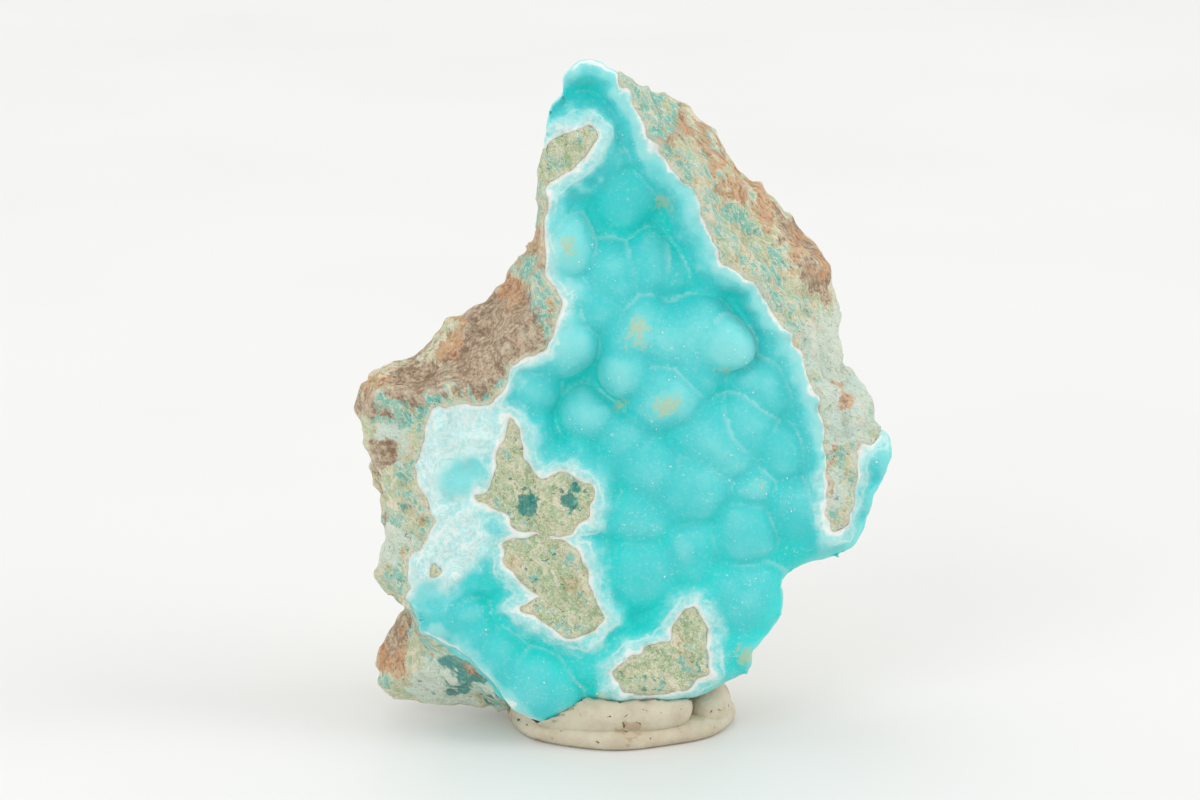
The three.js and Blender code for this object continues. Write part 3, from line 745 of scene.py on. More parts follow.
class Nodes:
    """A node tree, with short ways to add nodes to it and to join them."""

    def __init__(self, tree):
        self.tree = tree

    def add(self, kind, inputs=None, **settings):
        """A new node, with its inputs fed by name."""
        node = self.tree.nodes.new(kind)
        for name, value in settings.items():
            setattr(node, name, value)
        for name, value in (inputs or {}).items():
            self.feed(node.inputs[name], value)
        return node

    def feed(self, socket, value):
        """Joins another socket to a socket, or sets it to a value."""
        if isinstance(value, bpy.types.NodeSocket):
            self.tree.links.new(value, socket)
        else:
            socket.default_value = value

    def reckon(self, kind, operation, values):
        """One step of arithmetic."""
        node = self.add(kind, operation=operation)
        for socket, value in zip(node.inputs, values):
            self.feed(socket, value)
        return node.outputs[0]

    def math(self, operation, *values):
        return self.reckon("ShaderNodeMath", operation, values)

    def vector_math(self, operation, *values):
        return self.reckon("ShaderNodeVectorMath", operation, values)

    def times(self, value, factor):
        return self.math("MULTIPLY", value, factor)

    def times_plus(self, value, factor, plus):
        return self.math("MULTIPLY_ADD", value, factor, plus)

    def scaled(self, vector, factor):
        inputs = {"Vector": vector, "Scale": factor}
        return self.add("ShaderNodeVectorMath", inputs, operation="SCALE").outputs["Vector"]

    def noise(self, vector, per_mm, detail=4.0, roughness=0.6, distortion=0.0):
        settings = {"Scale": per_mm, "Detail": detail, "Roughness": roughness, "Distortion": distortion}
        return self.add("ShaderNodeTexNoise", {"Vector": vector, **settings}).outputs["Fac"]

    def swing(self, vector, per_mm, **settings):
        """Noise to both sides of zero."""
        return self.math("SUBTRACT", self.noise(vector, per_mm, **settings), 0.5)

    def step(self, value, low, high):
        """A smooth step from 0 at low to 1 at high."""
        limits = {"Value": value, "From Min": low, "From Max": high}
        return self.add("ShaderNodeMapRange", limits, interpolation_type="SMOOTHSTEP").outputs["Result"]

    def mix(self, factor, first, second, blend="MIX"):
        node = self.add("ShaderNodeMix", data_type="RGBA", blend_type=blend)
        for number, value in ((0, factor), (6, first), (7, second)):
            self.feed(node.inputs[number], value)
        return node.outputs[2]

    def group(self, tree, inputs):
        return self.add("ShaderNodeGroup", inputs, node_tree=tree)

    def attribute(self, name):
        return self.add("ShaderNodeAttribute", attribute_name=name).outputs["Fac"]

    def millimetres(self, stretch=(1, 1, 1), turn=0):
        """Object coordinates in millimetres, turned about the depth and stretched."""
        coordinates = self.add("ShaderNodeTexCoord").outputs["Object"]
        turning = {"Vector": coordinates, "Axis": (0, 1, 0), "Angle": -turn}
        turned = self.add("ShaderNodeVectorRotate", turning).outputs["Vector"]
        return self.vector_math("MULTIPLY", turned, tuple(axis / MM for axis in stretch))


def new_group(name, kind, inputs, outputs):
    """A node group with named sockets, each given as (name, socket type, default or None)."""
    tree = bpy.data.node_groups.new(name, kind)
    for direction, sockets in (("INPUT", inputs), ("OUTPUT", outputs)):
        for label, socket_type, default in sockets:
            socket = tree.interface.new_socket(name=label, in_out=direction, socket_type=socket_type)
            if default is not None:
                socket.default_value = default
    nodes = Nodes(tree)
    return nodes, nodes.add("NodeGroupInput").outputs, nodes.add("NodeGroupOutput").inputs


def shader_group(name, numbers, outputs):
    """A shader group with a vector, numbers given by name and default, and numbers as outputs."""
    inputs = [("Vector", "NodeSocketVector", None)]
    inputs += [(label, "NodeSocketFloat", default) for label, default in numbers.items()]
    results = [(label, "NodeSocketFloat", None) for label in outputs]
    return new_group(name, "ShaderNodeTree", inputs, results)


def geometry_group(name, numbers):
    """A geometry group with numbers given by name and default, whole ones as integers, and a material."""
    inputs = [("Geometry", "NodeSocketGeometry", None)]
    for label, default in numbers.items():
        kind = "NodeSocketInt" if isinstance(default, int) else "NodeSocketFloat"
        inputs.append((label, kind, default))
    inputs.append(("Material", "NodeSocketMaterial", None))
    return new_group(name, "GeometryNodeTree", inputs, [("Geometry", "NodeSocketGeometry", None)])


def stain_group():
    """A soft mask broken up into ragged patches."""
    numbers = {"Mask": 0, "Per mm": 1, "Raggedness": 1}
    nodes, given, result = shader_group("Ragged stain", numbers, ["Mask"])
    lumps = nodes.noise(given["Vector"], given["Per mm"], detail=6, roughness=0.68)
    ragged_by = nodes.times(nodes.math("SUBTRACT", lumps, 0.5), given["Raggedness"])
    nodes.feed(result["Mask"], nodes.step(nodes.math("ADD", given["Mask"], ragged_by), 0.38, 0.56))
    return nodes.tree


def speckle_group():
    """Specks scattered over a surface, as a mask. A higher threshold leaves fewer."""
    nodes, given, result = shader_group("Speckle", {"Per mm": 1, "Threshold": 0.6}, ["Mask"])
    lumps = nodes.noise(given["Vector"], given["Per mm"], detail=3, roughness=0.55, distortion=0.6)
    high = nodes.math("ADD", given["Threshold"], 0.05)
    nodes.feed(result["Mask"], nodes.step(lumps, given["Threshold"], high))
    return nodes.tree


def grain_group():
    """Height of a fine granular surface."""
    nodes, given, result = shader_group("Grain", {"Per mm": 2, "Fineness": 3}, ["Height"])
    coarse = nodes.noise(given["Vector"], given["Per mm"], detail=3)
    fine_scale = nodes.times(given["Per mm"], given["Fineness"])
    fine = nodes.noise(given["Vector"], fine_scale, detail=2)
    nodes.feed(result["Height"], nodes.times_plus(fine, 0.5, coarse))
    return nodes.tree


def fibre_group():
    """Silky streaks that run one way, turned about the line of sight from the front."""
    nodes, given, result = shader_group("Fibres", {"Turn": 0}, ["Streak"])
    bend = nodes.swing(given["Vector"], 0.16, detail=1)
    angle = nodes.times_plus(bend, 5, given["Turn"])
    turn = {"Vector": given["Vector"], "Axis": (0, 1, 0), "Angle": angle}
    turned = nodes.add("ShaderNodeVectorRotate", turn).outputs["Vector"]
    drawn_out = nodes.vector_math("MULTIPLY", turned, (0.32, 1, 2.2))
    nodes.feed(result["Streak"], nodes.noise(drawn_out, 0.9, detail=7, roughness=0.7, distortion=0.7))
    return nodes.tree


def mineral_group():
    """Tones of single mineral grains, each even across its grain, from 0 to 1."""
    numbers = {"Per mm": 1, "Warp": 0.5}
    nodes, given, result = shader_group("Mineral grains", numbers, ["Tone", "Seam", "Height"])
    wandering = {"Vector": given["Vector"], "Scale": given["Per mm"], "Detail": 4.0}
    wander = nodes.add("ShaderNodeTexNoise", wandering).outputs["Color"]
    offset = nodes.scaled(nodes.vector_math("SUBTRACT", wander, (0.5, 0.5, 0.5)), given["Warp"])
    pushed = nodes.vector_math("ADD", given["Vector"], offset)
    pattern = {"Vector": pushed, "Scale": given["Per mm"], "Randomness": 1.0}
    cells = nodes.add("ShaderNodeTexVoronoi", pattern)
    seams = nodes.add("ShaderNodeTexVoronoi", pattern, feature="DISTANCE_TO_EDGE").outputs["Distance"]
    tone = nodes.add("ShaderNodeSeparateColor", {"Color": cells.outputs["Color"]}).outputs["Red"]
    nodes.feed(result["Tone"], tone)
    nodes.feed(result["Seam"], nodes.step(seams, 0.16, 0.03))
    nodes.feed(result["Height"], nodes.math("SUBTRACT", 1, cells.outputs["Distance"]))
    return nodes.tree


def effect(name, build):
    """A shared shader group, built the first time it is asked for."""
    return bpy.data.node_groups.get(name) or build()


def speckled(nodes, place, per_mm, threshold):
    """A mask of specks."""
    inputs = {"Vector": place, "Per mm": per_mm, "Threshold": threshold}
    return nodes.group(effect("Speckle", speckle_group), inputs).outputs["Mask"]


def granular(nodes, place, per_mm, fineness):
    """The height of a fine granular surface."""
    inputs = {"Vector": place, "Per mm": per_mm, "Fineness": fineness}
    return nodes.group(effect("Grain", grain_group), inputs).outputs["Height"]


def new_material(name):
    """A node material and its shader, with the rest left to the caller."""
    material = bpy.data.materials.new(name)
    material.use_nodes = True
    return material, Nodes(material.node_tree), material.node_tree.nodes["Principled BSDF"].inputs


def set_inputs(sockets, values):
    """Sets a node's sockets by name."""
    for name, value in values.items():
        sockets[name].default_value = value


def bumped(nodes, shader, height, distance_mm, strength):
    """Roughens a surface by a height from 0 to 1, which stands for a distance."""
    bump = nodes.add("ShaderNodeBump", {"Height": height, "Distance": distance_mm * MM, "Strength": strength})
    nodes.feed(shader["Normal"], bump.outputs["Normal"])


# Materials


def turquoise(nodes, place, looks):
    """The crust's colour: painted shade deep in its crevices, deeper low down and paler to the right, painted
    highlights on its crests and bubble rims, painted sheen on its sides, frosted, and flecked white with
    painted glints.
    """
    cloud = nodes.swing(place, 0.28, detail=6, roughness=0.6)
    # The recess darkens the turquoise as painted shade in the hollows and lightens it as a painted highlight
    # where the crust stands forward.
    tone = nodes.times_plus(nodes.attribute("recess"), -0.33, nodes.times_plus(cloud, 0.9, 0.5))
    axes = nodes.add("ShaderNodeSeparateXYZ", {"Vector": place}).outputs
    tone = nodes.times_plus(nodes.step(axes["X"], 6, 26), 0.22, tone)
    tone = nodes.math("ADD", tone, nodes.times_plus(nodes.step(axes["Z"], 0, 40), 0.5, -0.47))
    # Deep is the painted shade of the crevices; raised is the painted highlight of the parts that stand
    # forward.
    colour = nodes.mix(nodes.step(tone, -0.1, 0.5), looks.deep[:], looks.middle[:])
    colour = nodes.mix(nodes.step(tone, 0.45, 1.05), colour, looks.raised[:])
    # Painted highlight on the crests that stand out of the surface.
    crest = nodes.times(nodes.step(nodes.attribute("out"), 0.02, 0.14), 0.3)
    colour = nodes.mix(crest, colour, looks.pale[:])
    # Painted highlight along the bubbles' upper right rims, broken into patches.
    rim_glow_patches = nodes.times(nodes.step(nodes.noise(place, 0.5, detail=4), 0.3, 0.6), 0.55)
    colour = nodes.mix(nodes.times(nodes.attribute("rim"), rim_glow_patches), colour, looks.pale[:])
    frost = nodes.step(nodes.noise(place, 2.4, detail=7, roughness=0.86), 0.5, 0.74)
    colour = nodes.mix(nodes.times(frost, 0.5), colour, looks.pale[:])
    # White flecks of tiny crystals, painted as glints.
    flecks_and_glints = nodes.step(nodes.noise(place, 3.2, detail=3, roughness=0.6, distortion=0.5), 0.6, 0.7)
    strewn = nodes.step(nodes.noise(place, 0.3, detail=3), 0.42, 0.66)
    flecks_and_glints = nodes.times(nodes.times(flecks_and_glints, strewn), 0.45)
    colour = nodes.mix(flecks_and_glints, colour, looks.white[:])
    # Painted sheen: paler where the crust turns away from the front.
    return nodes.mix(nodes.times(nodes.attribute("flank"), 0.4), colour, looks.pale[:])


def dusted(nodes, place, looks, colour):
    """A colour with clumps of dust over it."""
    specks = nodes.swing(place, 2.6, detail=5, roughness=0.7)
    clumps = nodes.swing(place, 0.7, detail=4, distortion=0.8)
    dusty = nodes.times_plus(clumps, 2.6, nodes.attribute("dust"))
    dusty = nodes.times_plus(specks, 2.2, dusty)
    dust = nodes.times(nodes.step(dusty, 0.6, 1.1), 0.6)
    return nodes.mix(dust, colour, looks.dust[:])


def white_edged(nodes, place, looks, colour, streak):
    """A colour with layers of white near the crust's broken edges, and the pale band along them."""
    edge, in_layers = nodes.attribute("edge"), nodes.attribute("layers")
    fade = nodes.noise(place, 0.22, detail=3)
    wander = nodes.swing(place, 0.7, detail=7, roughness=0.66)
    depth = nodes.times_plus(wander, 2.0, edge)
    depth = nodes.times_plus(nodes.math("SUBTRACT", fade, 0.42), 4.5, depth)
    band = nodes.step(depth, 1.9, 0.8)
    colour = nodes.mix(nodes.times(band, 0.48), colour, looks.pale[:])
    halo = nodes.step(nodes.times_plus(wander, 3.0, in_layers), 2.4, 0.2)
    veil = nodes.mix(nodes.step(streak, 0.42, 0.62), looks.pale[:], looks.white[:])
    colour = nodes.mix(nodes.times(halo, 0.6), colour, veil)
    other = nodes.swing(place, 0.45, detail=5, distortion=0.3)
    layer_depth = nodes.times_plus(other, 2.8, in_layers)
    layer = nodes.math("SINE", nodes.times(layer_depth, 6))
    layers = nodes.times(nodes.step(layer, 0.2, 0.95), nodes.step(layer_depth, 2.4, 0.5))
    layers = nodes.times(layers, nodes.step(nodes.noise(place, 0.35, detail=3), 0.38, 0.6))
    colour = nodes.mix(nodes.times(layers, 0.7), colour, looks.white[:])
    thin = nodes.times_plus(wander, 1.1, edge)
    line = nodes.math("MAXIMUM", nodes.step(thin, 0.5, 0.2), nodes.step(depth, 0.7, -0.1))
    line = nodes.times(line, nodes.step(streak, 0.25, 0.5))
    return nodes.mix(line, colour, looks.white[:]), band


def silky(nodes, place, looks, colour, streak):
    """A colour with white fibres, clear in places, over the crust's broken faces."""
    fibres = effect("Fibres", fibre_group)
    rising = nodes.group(fibres, {"Vector": place, "Turn": math.radians(40)}).outputs["Streak"]
    hanging = nodes.group(fibres, {"Vector": place, "Turn": math.radians(-65)}).outputs["Streak"]
    streaks = nodes.times(nodes.math("ADD", rising, nodes.math("ADD", hanging, streak)), 0.333)
    silk = nodes.mix(nodes.step(streaks, 0.42, 0.56), looks.silk[:], looks.white[:])
    glassy = nodes.times_plus(nodes.math("SUBTRACT", streaks, 0.5), 2.4, nodes.attribute("clear"))
    silk = nodes.mix(nodes.times(nodes.step(glassy, 0.25, 0.8), 0.85), silk, looks.raised[:])
    return nodes.mix(nodes.times(nodes.attribute("broken"), 0.92), colour, silk)


def crust_material(looks):
    """Waxy turquoise, with painted highlights on its bubbles and painted shade in its crevices, white where
    it is broken, with dust on its high parts.
    """
    material, nodes, shader = new_material("hemimorphite")
    place = nodes.millimetres()
    streak = nodes.noise(place, 2.4, detail=6, roughness=0.75)
    colour = dusted(nodes, place, looks, turquoise(nodes, place, looks))
    colour, band = white_edged(nodes, place, looks, colour, streak)
    nodes.feed(shader["Base Color"], silky(nodes, place, looks, colour, streak))
    nodes.feed(shader["Roughness"], nodes.times_plus(band, 0.2, 0.45))
    waxy = {"Subsurface Weight": 0.35, "Subsurface Radius": (0.25, 1, 1), "Subsurface Scale": 1.3 * MM}
    downy = {"Sheen Weight": 0.3, "Sheen Roughness": 0.4, "Sheen Tint": (0.75, 0.98, 1, 1)}
    set_inputs(shader, {**waxy, **downy, "Specular IOR Level": 0.4})
    bumped(nodes, shader, granular(nodes, place, 1.6, 3.5), distance_mm=0.1, strength=0.7)
    return material


class RockPattern:
    """The patterns that the colours and the relief of the rock share."""

    def __init__(self, nodes):
        self.nodes = nodes
        self.place = nodes.millimetres()
        self.bedded = nodes.millimetres((0.6, 1.4, 1.1), math.radians(57))
        self.border, self.island = nodes.attribute("border"), nodes.attribute("island")
        minerals = effect("Mineral grains", mineral_group)
        self.coarse = nodes.group(minerals, {"Vector": self.bedded, "Per mm": 1.3, "Warp": 1.9}).outputs
        self.fine = nodes.group(minerals, {"Vector": self.place, "Per mm": 3.6, "Warp": 0.6}).outputs
        self.veins = nodes.noise(self.bedded, 1.5, detail=8, roughness=0.78, distortion=0.6)
        granules = nodes.times_plus(self.fine["Tone"], 0.35, nodes.times(self.coarse["Tone"], 0.2))
        self.granules = nodes.times_plus(nodes.step(self.veins, 0.3, 0.7), 0.45, granules)
        self.holes = nodes.times(nodes.step(nodes.noise(self.place, 2.6, detail=4), 0.62, 0.72), 0.7)

    def stained(self, name, per_mm, raggedness):
        """A ragged stain round the spots of one kind."""
        mask = {"Vector": self.bedded, "Mask": self.nodes.attribute(name)}
        inputs = {**mask, "Per mm": per_mm, "Raggedness": raggedness}
        return self.nodes.group(effect("Ragged stain", stain_group), inputs).outputs["Mask"]

    def by_island(self, change, plus):
        """A weight that is changed on the stubs."""
        return self.nodes.times_plus(self.island, change, plus)

    def toned(self, low, high, first, second):
        """A colour that runs from one to another with the granules."""
        return self.nodes.mix(self.nodes.step(self.granules, low, high), first, second)

    def height(self):
        """The relief of the grains and holes."""
        nodes = self.nodes
        height = nodes.times_plus(self.fine["Height"], 0.55, granular(nodes, self.place, 1.7, 3.0))
        height = nodes.times_plus(self.coarse["Height"], 0.5, height)
        return nodes.times_plus(self.holes, -0.8, height)


def rock_grains(rock, looks):
    """The rock's own colour: cream, tan and sage grains, rusty ones and copper ones near the crust."""
    nodes, coarse, veins = rock.nodes, rock.coarse, rock.veins
    main = nodes.mix(rock.island, looks.tan[:], looks.khaki[:])
    colour = rock.toned(0.35, 0.8, looks.cream[:], main)
    patches = nodes.noise(rock.bedded, 0.35, detail=6, roughness=0.65)
    green = nodes.times(nodes.step(patches, 0.34, 0.54), nodes.step(coarse["Tone"], 0.2, 0.4))
    green = nodes.times(green, rock.by_island(0.25, 0.75))
    colour = nodes.mix(green, colour, looks.sage[:])
    rusty = nodes.times(nodes.step(coarse["Tone"], 0.84, 0.9), nodes.step(veins, 0.45, 0.6))
    rusty = nodes.times(rusty, rock.by_island(-0.35, 0.8))
    colour = nodes.mix(rusty, colour, looks.rust[:])
    near = nodes.times(nodes.step(rock.border, 4.5, 0.6), rock.by_island(-0.6, 1))
    mottled = nodes.times_plus(veins, 0.3, coarse["Tone"])
    copper = nodes.math("LESS_THAN", mottled, nodes.times(near, 0.78))
    for mask in (copper, rock.stained("verdigris", 1.2, 1.8)):
        colour = nodes.mix(nodes.times(mask, 0.75), colour, looks.verdigris[:])
    seams = nodes.times(coarse["Seam"], nodes.step(veins, 0.4, 0.55))
    return nodes.mix(nodes.times(seams, 0.8), colour, looks.cream[:])


def rock_stains(rock, looks, colour):
    """A colour stained mint, teal, brown and rust in places, with crumbs and bits on the stubs."""
    nodes, fine, veins = rock.nodes, rock.fine, rock.veins
    mint = rock.toned(0.5, 0.95, looks.mint[:], looks.sage[:])
    colour = nodes.mix(nodes.times(rock.stained("mint", 0.7, 1.7), 0.8), colour, mint)
    crumbs = nodes.times(nodes.step(fine["Tone"], 0.62, 0.72), nodes.times(rock.island, 0.7))
    colour = nodes.mix(crumbs, colour, looks.cream[:])
    gaps = nodes.times(nodes.times(fine["Seam"], rock.island), nodes.step(veins, 0.42, 0.6))
    colour = nodes.mix(nodes.times(gaps, 0.9), colour, looks.sage[:], "MULTIPLY")
    teal = rock.toned(0.5, 0.9, looks.teal[:], looks.verdigris[:])
    colour = nodes.mix(nodes.times(rock.stained("teal", 1.3, 1.2), 0.85), colour, teal)
    damp = nodes.times_plus(nodes.step(nodes.attribute("teal"), 0, 0.2), -0.07, 0.64)
    bits = nodes.times(speckled(nodes, rock.place, 1.5, damp), nodes.times(rock.island, 0.75))
    colour = nodes.mix(bits, colour, looks.teal[:])
    brown = rock.toned(0.25, 0.8, looks.umber[:], looks.fawn[:])
    colour = nodes.mix(rock.stained("brown", 1.1, 2.0), colour, brown)
    rust = rock.toned(0.25, 0.75, looks.rust[:], looks.tan[:])
    rust = nodes.mix(nodes.step(veins, 0.46, 0.6), rust, looks.sienna[:])
    rusted = nodes.times(rock.stained("rust", 1.4, 2.8), rock.by_island(-0.45, 0.8))
    return nodes.mix(rusted, colour, rust)


def rock_shading_and_bleach(rock, looks, colour):
    """A colour with painted shade, dark in holes and pits, a painted highlight on ridges, and bleached along
    the crust.
    """
    nodes, out = rock.nodes, rock.nodes.attribute("out")
    # Painted shade in the holes.
    colour = nodes.mix(rock.holes, colour, looks.umber[:])
    # Painted shade in the pits of the surface.
    pits = nodes.times(nodes.step(out, 0.0, -0.25), rock.by_island(-0.3, 0.4))
    pits = nodes.times(pits, nodes.step(rock.border, 0.2, 0.9))
    colour = nodes.mix(pits, colour, looks.umber[:], "MULTIPLY")
    # Painted highlight on the ridges that stand out.
    ridges = nodes.times(nodes.step(out, 0.03, 0.22), 0.45)
    frayed = nodes.times_plus(nodes.math("SUBTRACT", rock.veins, 0.5), 1.8, rock.border)
    bleached = nodes.times(nodes.step(frayed, 0.45, 0.1), rock.by_island(-0.5, 0.7))
    return nodes.mix(nodes.math("MAXIMUM", ridges, bleached), colour, looks.cream[:])


def rock_material(looks):
    """Broken host rock: cream and khaki grains with teal specks, stained brown, rust and mint in places."""
    material, nodes, shader = new_material("host rock")
    rock = RockPattern(nodes)
    colour = rock_stains(rock, looks, rock_grains(rock, looks))
    nodes.feed(shader["Base Color"], rock_shading_and_bleach(rock, looks, colour))
    nodes.feed(shader["Roughness"], nodes.times_plus(rock.granules, 0.25, 0.65))
    set_inputs(shader, {"Specular IOR Level": 0.3})
    bumped(nodes, shader, rock.height(), distance_mm=0.6, strength=0.75)
    return material


def putty_material(looks):
    """Soft cream putty, with pits and grubby stains picked up in handling."""
    material, nodes, shader = new_material("display putty")
    place = nodes.millimetres()
    mottle = nodes.noise(place, 0.35, detail=6)
    colour = nodes.mix(nodes.step(mottle, 0.35, 0.68), looks.cream[:], looks.shade[:])
    smudge = speckled(nodes, place, 0.42, 0.63)
    colour = nodes.mix(nodes.times(smudge, 0.45), colour, looks.smudge[:])
    pits = speckled(nodes, place, 1.1, 0.67)
    colour = nodes.mix(pits, colour, looks.pit[:])
    nodes.feed(shader["Base Color"], colour)
    soft = {"Subsurface Weight": 0.15, "Subsurface Scale": 1.0 * MM}
    set_inputs(shader, {**soft, "Roughness": 0.7, "Specular IOR Level": 0.35})
    height = nodes.times_plus(pits, -0.8, granular(nodes, place, 0.9, 4.0))
    bumped(nodes, shader, height, distance_mm=0.16, strength=0.7)
    return material


def glint_material(looks):
    """Clear white crystal tips that catch the light."""
    material, nodes, shader = new_material("crystal tips")
    cloudy = nodes.step(nodes.noise(nodes.millimetres(), 1.5), 0.4, 0.6)
    nodes.feed(shader["Base Color"], nodes.mix(cloudy, looks.white[:], looks.pale[:]))
    set_inputs(shader, {"Roughness": 0.15})
    return material


def floor_material(looks):
    """A plain pale tabletop with a faint soft gloss."""
    material, nodes, shader = new_material("pale tabletop")
    cloudy = nodes.step(nodes.noise(nodes.millimetres(), 0.01, detail=2), 0.3, 0.7)
    nodes.feed(shader["Base Color"], nodes.mix(cloudy, looks.floor[:], looks.floor_shade[:]))
    set_inputs(shader, {"Roughness": 0.45, "Specular IOR Level": 0.25})
    return material


# Geometry node trees


def rope_tree():
    """A rolled rope with round ends along a line of points, uneven as if pressed by fingers."""
    numbers = {
        "Radius": 2 * MM,
        "Spacing": 0.4 * MM,
        "Sides": 32,
        "Unevenness": 0.3 * MM,
        "Lumps per metre": 250.0,
        "Seed": 0.0,
    }
    nodes, given, result = geometry_group("Putty rope", numbers)
    path = nodes.add("GeometryNodeMeshToCurve", {"Mesh": given["Geometry"]}).outputs["Curve"]
    smooth = nodes.add("GeometryNodeCurveSplineType", {"Curve": path}, spline_type="CATMULL_ROM")
    evenly = {"Curve": smooth.outputs["Curve"], "Length": given["Spacing"]}
    path = nodes.add("GeometryNodeResampleCurve", evenly, mode="LENGTH").outputs["Curve"]
    along = nodes.add("GeometryNodeSplineParameter").outputs["Length"]
    whole = nodes.add("GeometryNodeSplineLength").outputs["Length"]
    from_end = nodes.math("MINIMUM", along, nodes.math("SUBTRACT", whole, along))
    share = nodes.math("MINIMUM", nodes.math("DIVIDE", from_end, given["Radius"]), 1)
    left = nodes.math("SUBTRACT", 1, share)
    taper = nodes.math("SQRT", nodes.math("SUBTRACT", 1.001, nodes.times(left, left)))
    profile = {"Radius": given["Radius"], "Resolution": given["Sides"]}
    circle = nodes.add("GeometryNodeCurvePrimitiveCircle", profile).outputs["Curve"]
    swept = {"Curve": path, "Profile Curve": circle, "Scale": taper, "Fill Caps": True}
    rope = nodes.add("GeometryNodeCurveToMesh", swept).outputs["Mesh"]
    place = nodes.add("GeometryNodeInputPosition").outputs["Position"]
    lumpy = {"Vector": place, "W": given["Seed"], "Scale": given["Lumps per metre"], "Detail": 3.0}
    lumps = nodes.add("ShaderNodeTexNoise", lumpy, noise_dimensions="4D").outputs["Fac"]
    height = nodes.times(nodes.math("SUBTRACT", lumps, 0.5), given["Unevenness"])
    outward = nodes.add("GeometryNodeInputNormal").outputs["Normal"]
    moved_out = {"Geometry": rope, "Offset": nodes.scaled(outward, height)}
    mesh = nodes.add("GeometryNodeSetPosition", moved_out).outputs["Geometry"]
    finish_tree(nodes, mesh, given["Material"], result["Geometry"])
    return nodes.tree


FURTHEST_LEAN = (0.9, 0.9, 6.28)


def tips_tree():
    """Small crystal tips strewn over a surface."""
    numbers = {"Per square metre": 100000.0, "Smallest": 0.05 * MM, "Largest": 0.15 * MM, "Seed": 0}
    nodes, given, result = geometry_group("Crystal tips", numbers)
    chance = nodes.add("GeometryNodeInputNamedAttribute", {"Name": "tips"}, data_type="FLOAT")
    density = nodes.times(chance.outputs["Attribute"], given["Per square metre"])
    strewn = {"Mesh": given["Geometry"], "Density": density, "Seed": given["Seed"]}
    points = nodes.add("GeometryNodeDistributePointsOnFaces", strewn).outputs
    blunt = {"Vertices": 6, "Radius Top": 0.35, "Radius Bottom": 0.8, "Depth": 1.6}
    tip = nodes.add("GeometryNodeMeshCone", blunt).outputs["Mesh"]
    sizes = {"Min": given["Smallest"], "Max": given["Largest"], "Seed": given["Seed"]}
    size = nodes.add("FunctionNodeRandomValue", sizes, data_type="FLOAT")
    lean = nodes.add("FunctionNodeRandomValue", {"Max": FURTHEST_LEAN}, data_type="FLOAT_VECTOR")
    leaning = {"Rotation": points["Rotation"], "Rotate By": lean.outputs["Value"]}
    instances = {
        "Points": points["Points"],
        "Instance": tip,
        "Rotation": nodes.add("FunctionNodeRotateEuler", leaning, space="LOCAL").outputs["Rotation"],
        "Scale": next(socket for socket in size.outputs if socket.type == "VALUE" and socket.enabled),
    }
    tips = nodes.add("GeometryNodeInstanceOnPoints", instances).outputs["Instances"]
    finish_tree(nodes, tips, given["Material"], result["Geometry"])
    return nodes.tree


def finish_tree(nodes, geometry, material, result):
    """Ends a tree: plain geometry with its material."""
    realized = nodes.add("GeometryNodeRealizeInstances", {"Geometry": geometry}).outputs["Geometry"]
    painted = nodes.add("GeometryNodeSetMaterial", {"Geometry": realized, "Material": material})
    nodes.feed(result, painted.outputs["Geometry"])


def grown_mesh(source, tree, settings):
    """The plain mesh that a geometry tree makes of an object, with the tree's inputs set by name."""
    modifier = source.modifiers.new(tree.name, "NODES")
    modifier.node_group = tree
    for item in tree.interface.items_tree:
        if item.in_out == "INPUT" and item.name in settings:
            modifier[item.identifier] = settings[item.name]
    bpy.context.view_layer.update()
    evaluated = source.evaluated_get(bpy.context.evaluated_depsgraph_get())
    mesh = bpy.data.meshes.new_from_object(evaluated)
    source.modifiers.remove(modifier)
    if not mesh.polygons:
        raise RuntimeError(tree.name + " made no faces")
    return mesh


# Pieces

# Ranges over which a property of the crust or rock fades in, in millimetres
INSIDE_LIP = (-0.4, -1.2)
BEFORE_LIP = (1, 0.4)
BROKEN_FADE = (0.8, -0.9)
TIPS_OFF_EDGE = (1, 2.5)
TIPS_RAISED = (0.6, -0.6)
UNDER_CRUST = (0.04, -0.3)
ISLAND_FADE = 0.6
# The same, for how squarely the crust faces the front, which fades in its painted sheen
SHEEN_FLANK_FADE = (0.55, 0.1)
# How far the rock's stains stray from their spots, less on the stubs and more towards the back
STAIN_WANDER = 1.6
STAIN_CELL = 3.5
STAIN_FINE = 0.45
STAIN_FINE_CELL = 1.2
ISLAND_CALM = 1.3
BACK_WANDER = 0.35
BACK_START = 4


def read_points(mesh):
    """A mesh's corners, in millimetres."""
    points = np.empty(3 * len(mesh.vertices), np.float32)
    mesh.vertices.foreach_get("co", points)
    return points.reshape(-1, 3) / MM


def depth_map(values, grid):
    """How deep the front of the stone lies in each column of the grid, and where there is any."""
    solid = values < 0
    depth = grid.low[1] + solid.argmax(axis=1) * grid.step
    return depth, solid.any(axis=1)


def blurred(depth, there, radius):
    """A map averaged over a radius in cells, leaving out the columns with nothing there."""
    rows = np.fft.fftfreq(depth.shape[0])[:, None]
    columns = np.fft.rfftfreq(depth.shape[1])[None, :]
    soft = np.exp(-2 * (np.pi * radius) ** 2 * (rows**2 + columns**2))
    sums = np.fft.irfft2(np.fft.rfft2(depth * there) * soft, depth.shape)
    weight = np.fft.irfft2(np.fft.rfft2(there.astype(float)) * soft, depth.shape)
    return sums / np.maximum(weight, 1e-3)


